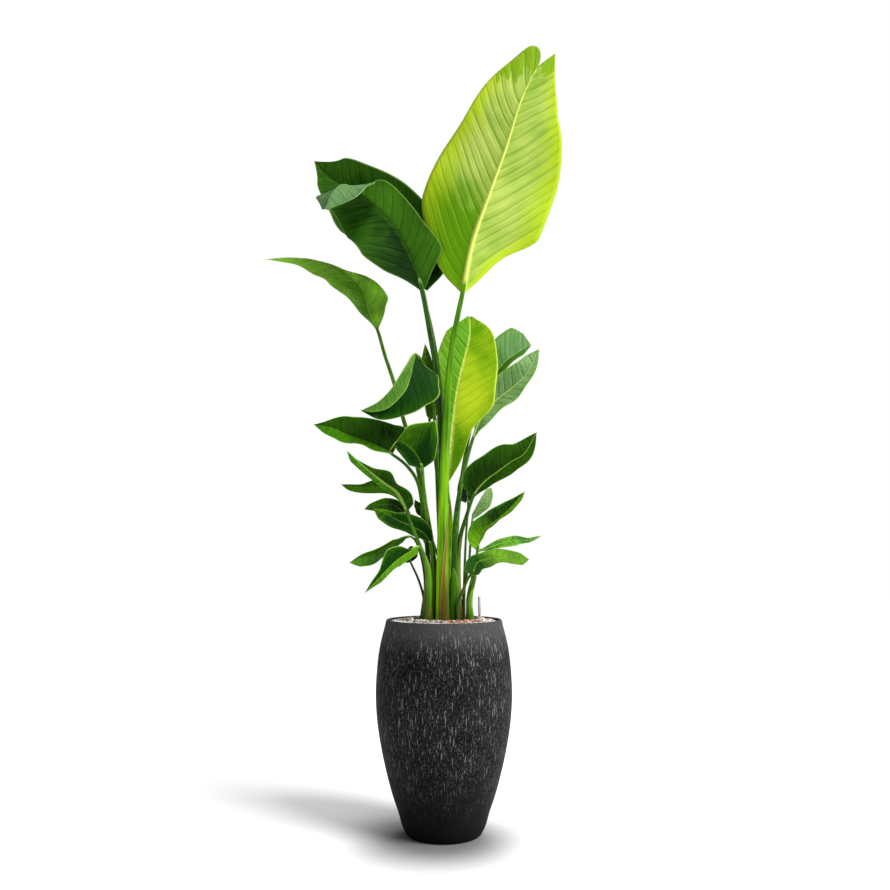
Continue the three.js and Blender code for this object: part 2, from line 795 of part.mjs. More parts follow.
function pumiceGeometry() {
  const wall = (angle, z) => {
    const reach = (potRadius(Math.min(z, 593)) - POT_WALL) * Math.cos(Math.PI / POT_SIDES) - GAP;
    return [reach * Math.cos(angle), reach * Math.sin(angle)];
  };
  const ring = looseRing(oval(GRANULE_WIDTH + GAP), wall, SOIL_TOP + GAP, PUMICE_TOP, 1.5, 0.6, 48);
  return fromSolid(
    toSolid(ring)
      .subtract(sleeveHole(COLLAR_RADIUS, PUMICE_TOP, POT_HEIGHT + 20))
      .subtract(sleeveHole(SLEEVE_RADIUS, GAUGE_FOOT - GAP, POT_HEIGHT)),
  );
}

// The gauge: a sleeve down into the soil, a clear sight tube standing in
// its socket, and the float with its red pointer inside both.
const sleeveGeometry = turned(
  [
    [SLEEVE_BORE, GAUGE_FOOT],
    [SLEEVE_RADIUS, GAUGE_FOOT],
    [SLEEVE_RADIUS, PUMICE_TOP + GAP],
    [COLLAR_RADIUS, PUMICE_TOP + GAP],
    [COLLAR_RADIUS - 1, PUMICE_TOP + 3],
    [SLEEVE_RADIUS, COLLAR_TOP],
    [SIGHT_RADIUS + GAP, COLLAR_TOP],
    [SIGHT_RADIUS + GAP, SOCKET_FLOOR],
    [NECK_BORE, SOCKET_FLOOR],
    [NECK_BORE, SOCKET_FLOOR - 5],
    [SLEEVE_BORE, SOCKET_FLOOR - 5],
    [SLEEVE_BORE, GAUGE_FOOT],
  ],
  20,
);
const sightGeometry = turned(
  [
    [0, SIGHT_TOP - SIGHT_WALL],
    [SIGHT_RADIUS - SIGHT_WALL, SIGHT_TOP - SIGHT_WALL - 1],
    [SIGHT_RADIUS - SIGHT_WALL, SOCKET_FLOOR + GAP],
    [SIGHT_RADIUS, SOCKET_FLOOR + GAP],
    [SIGHT_RADIUS, SIGHT_TOP - 1.5],
    [SIGHT_RADIUS - 1.5, SIGHT_TOP],
    [0, SIGHT_TOP],
  ],
  16,
);
const floatGeometry = turned(
  [
    [0, GAUGE_FOOT],
    [FLOAT_RADIUS, GAUGE_FOOT],
    [FLOAT_RADIUS, GAUGE_FOOT + FLOAT_LENGTH],
    [1.3, GAUGE_FOOT + FLOAT_LENGTH + 4],
    [1.3, FLOAT_TIP - 7],
    [2.4, FLOAT_TIP - 6],
    [2.4, FLOAT_TIP - 1],
    [0, FLOAT_TIP],
  ],
  12,
);

const COLOURS = {
  great: 0xa4c81e,
  bright: 0x8fc31a,
  fresh: 0x4f8a1e,
  deep: 0x22501a,
};

const plant = new THREE.Group();

function place(name, geometry, color, roughness, x = 0, y = 0) {
  const material = new THREE.MeshStandardMaterial({ color, roughness, metalness: 0 });
  const mesh = new THREE.Mesh(geometry, material);
  mesh.name = name;
  mesh.position.set(x, y, 0);
  plant.add(mesh);
}

place("planter", potGeometry(), 0x2b2b2d, 0.8);
place("growing_medium", soilGeometry(), 0x3a2a20, 0.95);
place("pumice_layer", pumiceGeometry(), 0xc9bdb8, 0.95);
place("clay_granules", granuleGeometry(), 0xb5683a, 0.95);
place("gauge_sleeve", sleeveGeometry, 0xe6e4e0, 0.5, GAUGE.x, GAUGE.y);
place("gauge_sight_tube", sightGeometry, 0xe9ece9, 0.15, GAUGE.x, GAUGE.y);
place("gauge_float", floatGeometry, 0xb02020, 0.4, GAUGE.x, GAUGE.y);
for (const leaf of LEAVES) {
  place(leaf.name, leafGeometry(leaf), COLOURS[leaf.colour ?? "deep"], 0.5);
}

export default plant;
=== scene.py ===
# %% [markdown]
# # A potted bird of paradise
# This lesson dresses a measured model of a tall house plant: long stalks with broad
# ribbed leaves in a rounded charcoal planter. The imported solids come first, because
# everything else has to sit in the space that they hold.

# %% Load the frame
import math
import bpy
import numpy as np
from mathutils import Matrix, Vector
from mathutils.bvhtree import BVHTree


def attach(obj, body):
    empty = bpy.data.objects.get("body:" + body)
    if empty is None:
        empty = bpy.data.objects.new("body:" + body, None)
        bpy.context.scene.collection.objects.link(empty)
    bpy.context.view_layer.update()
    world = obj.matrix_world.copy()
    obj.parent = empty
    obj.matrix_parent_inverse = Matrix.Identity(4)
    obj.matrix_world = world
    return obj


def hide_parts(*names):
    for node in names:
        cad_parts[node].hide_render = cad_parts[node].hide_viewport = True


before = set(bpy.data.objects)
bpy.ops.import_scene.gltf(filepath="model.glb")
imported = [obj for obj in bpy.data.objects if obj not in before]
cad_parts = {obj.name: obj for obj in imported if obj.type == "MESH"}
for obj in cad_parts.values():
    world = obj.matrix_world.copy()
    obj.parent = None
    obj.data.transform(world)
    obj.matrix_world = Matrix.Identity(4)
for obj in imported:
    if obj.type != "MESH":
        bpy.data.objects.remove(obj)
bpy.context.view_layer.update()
MM = 0.001

# %% [markdown]
# ## The view
# The photograph was taken from a little under a metre up, with the camera tipped
# upwards. The lens, height and tilt below were found from the planter's rim and foot.

# %% The camera
CAMERA_DISTANCE = 2.7
CAMERA_HEIGHT = 0.803
CAMERA_TILT = 6.53
CAMERA_LENS = 36.81

view = bpy.data.cameras.new("view")
view.lens = CAMERA_LENS
view.sensor_width = 36
camera = bpy.data.objects.new("view", view)
camera.location = (0.003, -CAMERA_DISTANCE, CAMERA_HEIGHT)
camera.rotation_euler = (math.radians(90 + CAMERA_TILT), 0, 0)
bpy.context.scene.collection.objects.link(camera)
bpy.context.scene.camera = camera
print("camera at", tuple(camera.location))

# %% [markdown]
# ## Small helpers
# An operator acts on whatever is selected, so each step starts from nothing selected.

# %% Selecting and finishing pieces
def select_only(*objects):
    for item in bpy.context.selected_objects:
        item.select_set(False)
    for item in objects:
        item.select_set(True)
    bpy.context.view_layer.objects.active = objects[0] if objects else None


def finished(piece, name, material_slot, *nodes):
    piece.name = name
    piece.data.name = name
    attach(piece, "root")
    if nodes:
        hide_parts(*nodes)
    print(name, len(piece.data.polygons), "faces")
    return piece


def join(parts):
    select_only(*parts)
    bpy.ops.object.join()
    return bpy.context.view_layer.objects.active


print("selected at the start", len(bpy.context.selected_objects), "objects")

# %% [markdown]
# ## Finishes
# A node tree is easier to read when each node is added by one short call. The helper
# makes a node, sets its values and links what it is given. A colour is written as it is
# seen on a screen, and the mix turns it to linear light.

# %% Node helpers
def rgb(red, green, blue):
    """A colour as it is seen on a screen, from 0 to 255, turned to linear light."""
    def linear(value):
        value /= 255
        return value / 12.92 if value <= 0.04045 else ((value + 0.055) / 1.055) ** 2.4

    return (linear(red), linear(green), linear(blue), 1.0)


class Tree:
    """A short way to write a node tree down."""

    def __init__(self, tree):
        self.tree = tree

    def add(self, kind, inputs=None, **settings):
        node = self.tree.nodes.new(kind)
        for key, value in settings.items():
            setattr(node, key, value)
        for key, value in (inputs or {}).items():
            if isinstance(value, bpy.types.NodeSocket):
                self.tree.links.new(value, node.inputs[key])
            else:
                node.inputs[key].default_value = value
        return node

    def wire(self, value, socket):
        self.tree.links.new(value, socket)

    def math(self, operation, a, b=0.0, c=0.0, clamp=False):
        node = self.add("ShaderNodeMath", {0: a, 1: b, 2: c}, operation=operation, use_clamp=clamp)
        return node.outputs[0]

    def times(self, a, b):
        return self.math("MULTIPLY", a, b)

    def times_add(self, a, b, c, clamp=False):
        return self.math("MULTIPLY_ADD", a, b, c, clamp)

    def off_middle(self, value):
        """0 in the middle of the range from 0 to 1, and 1 at both of its ends."""
        return self.math("ABSOLUTE", self.times_add(value, 2.0, -1.0))

    def span(self, value, low, high, to_low=0.0, to_high=1.0):
        inputs = {0: value, 1: low, 2: high, 3: to_low, 4: to_high}
        made = self.add("ShaderNodeMapRange", inputs, interpolation_type="SMOOTHSTEP")
        return made.outputs[0]

    def mix(self, share, a, b):
        a, b = (rgb(*colour) if isinstance(colour, tuple) else colour for colour in (a, b))
        return self.add("ShaderNodeMix", {0: share, 6: a, 7: b}, data_type="RGBA").outputs[2]

    def noise(self, vector, scale, detail=2.0, roughness=0.5):
        inputs = {"Vector": vector, "Scale": scale, "Detail": detail, "Roughness": roughness}
        return self.add("ShaderNodeTexNoise", inputs).outputs["Fac"]

    def place(self, vector, scale=(1, 1, 1), location=(0, 0, 0)):
        inputs = {"Vector": vector, "Scale": scale, "Location": location}
        return self.add("ShaderNodeMapping", inputs).outputs[0]

    def object_place(self):
        return self.add("ShaderNodeTexCoord").outputs["Object"]

    def part(self, vector, axis):
        return self.add("ShaderNodeSeparateXYZ", {0: vector}).outputs[axis]

    def stored(self, name):
        """A number that the mesh holds at its points."""
        return self.add("ShaderNodeAttribute", attribute_name=name).outputs["Fac"]

    def bump(self, surface, height, strength, distance):
        inputs = {"Strength": strength, "Distance": distance, "Height": height}
        self.wire(self.add("ShaderNodeBump", inputs).outputs[0], surface["Normal"])


def group(name, inputs, outputs):
    tree = bpy.data.node_groups.new(name, "ShaderNodeTree")
    for label, default in inputs.items():
        socket = tree.interface.new_socket(label, in_out="INPUT", socket_type="NodeSocketFloat")
        socket.default_value = default
    for label in outputs:
        tree.interface.new_socket(label, in_out="OUTPUT", socket_type="NodeSocketFloat")
    t = Tree(tree)
    return t, t.add("NodeGroupInput").outputs, t.add("NodeGroupOutput").inputs


def material(name, roughness, gloss=0.5):
    made = bpy.data.materials.new(name)
    made.use_nodes = True
    made.node_tree.nodes.clear()
    t = Tree(made.node_tree)
    inputs = {"Roughness": roughness, "Specular IOR Level": gloss}
    surface = t.add("ShaderNodeBsdfPrincipled", inputs)
    t.add("ShaderNodeOutputMaterial", {"Surface": surface.outputs[0]})
    return made, t, surface.inputs


print("middle grey in linear light", rgb(128, 128, 128))

# %% [markdown]
# A leaf of this kind has a stout midrib and many straight veins that leave it slantwise,
# with the blade pleated between them. Three values are stored with every blade point: how
# far across it lies, how far along, and which vein it is on. One node group turns them
# into the masks that every leaf finish shares.

# %% The leaf's markings
g, values, into = group(
    "leaf markings",
    {"Zone start": 0.6, "Cap from": 9.0},
    ["Rib", "Margin", "Groove", "Slope", "Lines", "Blotch", "Zone", "Cap", "Height"],
)
blade_map = g.add("ShaderNodeUVMap", uv_map="blade").outputs[0]
object_place = g.object_place()
vein = g.stored("vein")
side = g.off_middle(g.part(blade_map, 0))
step = g.math("FRACT", vein)
near = g.math("MINIMUM", step, g.math("SUBTRACT", 1.0, step))
groove = g.times(g.span(near, 0.0, 0.16, 1.0, 0.0), g.span(side, 0.9, 1.0, 1.0, 0.0))


def along_veins(across_veins, along_side, detail, low, high):
    """Noise drawn out along the veins."""
    inputs = {0: g.times(vein, across_veins), 1: g.times(side, along_side)}
    place = g.add("ShaderNodeCombineXYZ", inputs).outputs[0]
    return g.span(g.noise(place, 1.0, detail, 0.6), low, high)


lines = along_veins(11.0, 2.0, 3.0, 0.35, 0.65)
bands = along_veins(1.3, 1.2, 2.0, 0.3, 0.7)
edge_noise = g.times_add(bands, 0.24, -0.12)
uneven_rise = g.times_add(edge_noise, 0.22, g.part(object_place, 2))
masks = {
    "Rib": g.times(g.span(g.stored("rib"), 0.7, 1.3, 1.0, 0.0), g.stored("rib_light")),
    "Margin": g.span(side, 0.955, 0.985),
    "Groove": groove,
    # painted shading from dark to light across each pleat, with soft streaks along the veins
    "Slope": g.times_add(step, 0.6, g.times(bands, 0.4)),
    "Lines": lines,
    "Blotch": g.span(g.noise(object_place, 7.0, 3.0), 0.35, 0.65),
    "Zone": g.span(g.math("ADD", side, edge_noise), values["Zone start"], 1.0),
    "Cap": g.span(uneven_rise, values["Cap from"], g.math("ADD", values["Cap from"], 0.012)),
    "Height": g.times_add(bands, 1.4, g.times_add(lines, 0.3, g.times(groove, -1.0))),
}
for label, mask in masks.items():
    g.wire(mask, into[label])
leaf_markings = g.tree
print("masks", list(masks))

# %% [markdown]
# Young leaves are a clear yellow-green and old ones deep green, and the back of a leaf is
# paler than its face. One recipe makes all these finishes, each from its own colours. In
# it a pale band lies along the midrib, painted shade darkens the grooves, painted shading
# runs from dark to light across each pleat, and the margin is thin and light. The colours of
# a finish are those of the dark and the light parts, the midrib, the margin, the painted
# shade in the grooves and the outer zone.

# %% Leaf finishes
def leaf_material(name, dark, light, rib, margin, groove, zone, rough=0.42, gloss=0.2,
                  zone_start=0.6, zone_share=0.5, groove_share=0.2, pleats=0.2, blotches=0.4,
                  cap_from=9.0):
    made, t, surface = material(name, rough, gloss=gloss)
    marks = t.add("ShaderNodeGroup", node_tree=leaf_markings)
    marks.inputs["Zone start"].default_value = zone_start
    marks.inputs["Cap from"].default_value = cap_from
    out = marks.outputs
    tone = t.stored("tone")
    # Painted shading across each pleat sets part of the share between dark and light.
    share = t.times_add(out["Slope"], pleats, t.times(out["Lines"], 0.2))
    share = t.times_add(out["Blotch"], blotches, share)
    share = t.math("ADD", share, tone, clamp=True)
    colour = t.mix(share, dark, light)
    zone_depth = t.span(tone, -1.0, -0.2, 0.15 * zone_share, zone_share)
    zone_mask = t.times(out["Zone"], zone_depth)
    colour = t.mix(zone_mask, colour, zone)
    colour = t.mix(t.times(out["Cap"], 0.9), colour, t.mix(0.75, zone, groove))
    # Painted shade darkens the grooves, less so on the cap.
    painted_groove_shade = t.times(out["Groove"], t.times_add(out["Cap"], -0.8, 1.0))
    colour = t.mix(t.times(painted_groove_shade, groove_share), colour, groove)
    colour = t.mix(t.times(out["Margin"], 0.6), colour, margin)
    rib_share = t.times(out["Rib"], t.times_add(out["Cap"], -0.9, 1.0))
    colour = t.mix(rib_share, colour, rib)
    t.wire(colour, surface["Base Color"])
    t.bump(surface, out["Height"], 0.5, 0.002)
    t.wire(t.times_add(out["Lines"], 0.12, rough), surface["Roughness"])
    return made


UPPER = {
    "dark": leaf_material("dark green", (8, 36, 2), (62, 112, 22), (90, 124, 56), (104, 140, 60),
                          (2, 14, 0), (40, 84, 10), rough=0.5, gloss=0.03),
    "deep": leaf_material("deep green", (4, 26, 0), (58, 110, 6), (134, 172, 70), (136, 170, 70),
                          (2, 18, 0), (34, 92, 0), gloss=0.05),
    "mid": leaf_material("mid green", (10, 50, 0), (96, 154, 8), (140, 176, 62), (160, 190, 84),
                         (8, 36, 0), (60, 130, 0), gloss=0.05),
    # The backlit finish paints the light that shines through the leaf into its colours.
    "bright": leaf_material("backlit green", (88, 142, 0), (204, 216, 110), (200, 212, 96),
                            (158, 186, 40), (96, 146, 0), (166, 194, 20), rough=0.55, gloss=0.1,
                            zone_start=0.46, zone_share=0.95, groove_share=0.4, pleats=0.4,
                            blotches=0.25, cap_from=2.18),
    "grey": leaf_material("grey green", (36, 80, 24), (128, 166, 96), (172, 200, 104),
                          (164, 196, 104), (30, 70, 20), (84, 132, 48)),
    "soft": leaf_material("soft green", (26, 88, 0), (134, 198, 44), (170, 206, 100),
                          (176, 204, 110), (30, 80, 4), (96, 156, 24), rough=0.38,
                          groove_share=0.15, blotches=0.8),
    "misty": leaf_material("misty green", (56, 108, 10), (110, 146, 96), (160, 190, 100),
                           (164, 196, 104), (50, 100, 14), (90, 140, 50), groove_share=0.15),
    "fresh": leaf_material("fresh green", (84, 142, 0), (184, 208, 30), (206, 216, 104),
                           (196, 210, 90), (76, 132, 0), (124, 166, 0), rough=0.36, gloss=0.1,
                           zone_start=0.55, zone_share=0.6, groove_share=0.12, blotches=0.5),
}
UNDER = {
    "deep": leaf_material("grey underside", (36, 78, 34), (100, 138, 84), (160, 186, 124),
                          (160, 184, 132), (50, 84, 44), (74, 116, 56), rough=0.5, gloss=0.08),
    "mid": leaf_material("green underside", (48, 98, 14), (120, 160, 66), (176, 200, 104),
                         (180, 200, 116), (44, 86, 16), (84, 138, 24), rough=0.48, gloss=0.08,
                         groove_share=0.25),
    "bright": leaf_material("bright upper face", (48, 104, 0), (116, 164, 14), (184, 204, 76),
                            (176, 200, 60), (34, 82, 0), (96, 152, 0), rough=0.4,
                            groove_share=0.3),
}
UNDER["fresh"] = UNDER["bright"]
UNDER["dark"] = UNDER["grey"] = UNDER["deep"]
UNDER["misty"] = UNDER["soft"] = UNDER["mid"]
print("leaf finishes", list(UPPER))

# %% [markdown]
# A stalk has fine streaks along it. Near the ground, between its neighbours, it gets
# painted shade, and its foot is stained brown. The youngest stalk is lime on the side that
# faces left, up to about a metre. The spans of "rise" are heights above the floor in
# metres, and the mix lies at 0.6.

# %% The stalk's finish
def stalk_material(name, dark, light, low_light, foot, rib, shade=0.55, lime=0.0,
                   fade_from=9.0, rough=0.45):
    made, t, surface = material(name, rough, gloss=0.1)
    place = t.object_place()
    streaks = t.noise(t.place(place, (260, 260, 7)), 1.0, 3.0, 0.6)
    patches = t.noise(t.place(place, (14, 14, 5)), 1.0, 2.0)
    half_patches = t.times(t.span(patches, 0.35, 0.7), 0.5)
    share = t.times_add(t.span(streaks, 0.35, 0.65), 0.5, half_patches)
    rise = t.part(place, 2)
    light = t.mix(t.span(rise, 0.85, 1.2), low_light, light)
    colour = t.mix(share, dark, light)
    low = t.times(t.span(rise, 0.6, 0.78, 1.0, 0.0), t.span(patches, 0.4, 0.6))
    colour = t.mix(low, colour, foot)
    # Painted shade: the stalk is darker green near the ground, between its neighbours.
    colour = t.mix(t.span(rise, 0.6, 0.85, shade, 0.0), colour, (8, 30, 0))
    # Lime on the side that faces left, up to about a metre.
    facing = t.part(t.add("ShaderNodeTexCoord").outputs["Normal"], 0)
    left_side_lime = t.times(t.span(facing, -0.85, -0.35, lime, 0.0), t.span(rise, 0.75, 1.0, 1.0, 0.0))
    colour = t.mix(left_side_lime, colour, (158, 220, 0))
    colour = t.mix(t.times(t.stored("edge"), 0.35), colour, (150, 180, 80))
    colour = t.mix(t.stored("on_blade"), colour, rib)
    colour = t.mix(t.span(rise, fade_from, fade_from + 0.06, 0.0, 0.85), colour, (126, 172, 10))
    t.wire(colour, surface["Base Color"])
    t.bump(surface, streaks, 0.3, 0.001)
    return made


STALK = {
    "dark": stalk_material("dark stalk", (6, 34, 0), (36, 84, 14), (40, 90, 8),
                           (66, 48, 24), (110, 146, 90)),
    "deep": stalk_material("deep stalk", (12, 46, 2), (56, 106, 14), (64, 116, 12),
                           (66, 48, 24), (130, 166, 90)),
    "mid": stalk_material("green stalk", (22, 70, 0), (84, 138, 14), (92, 148, 10),
                          (84, 66, 32), (150, 184, 84)),
    "bright": stalk_material("light stalk", (16, 76, 0), (88, 146, 0), (132, 192, 0),
                             (128, 118, 20), (198, 212, 104), shade=0.1, lime=0.85,
                             fade_from=2.12),
}
STALK["fresh"] = STALK["bright"]
STALK["grey"] = STALK["deep"]
STALK["misty"] = STALK["soft"] = STALK["mid"]
print("stalk finishes", list(STALK))

# %% [markdown]
# ## The leaves
# Every leaf is one grown piece: a stalk that stands in the mix, a midrib that carries it
# on, and a blade. The table gives each leaf as a grower would read it: where it stands,
# the points its stalk and midrib pass, and how wide and how folded each half is. All
# lengths are in millimetres and match the solids.

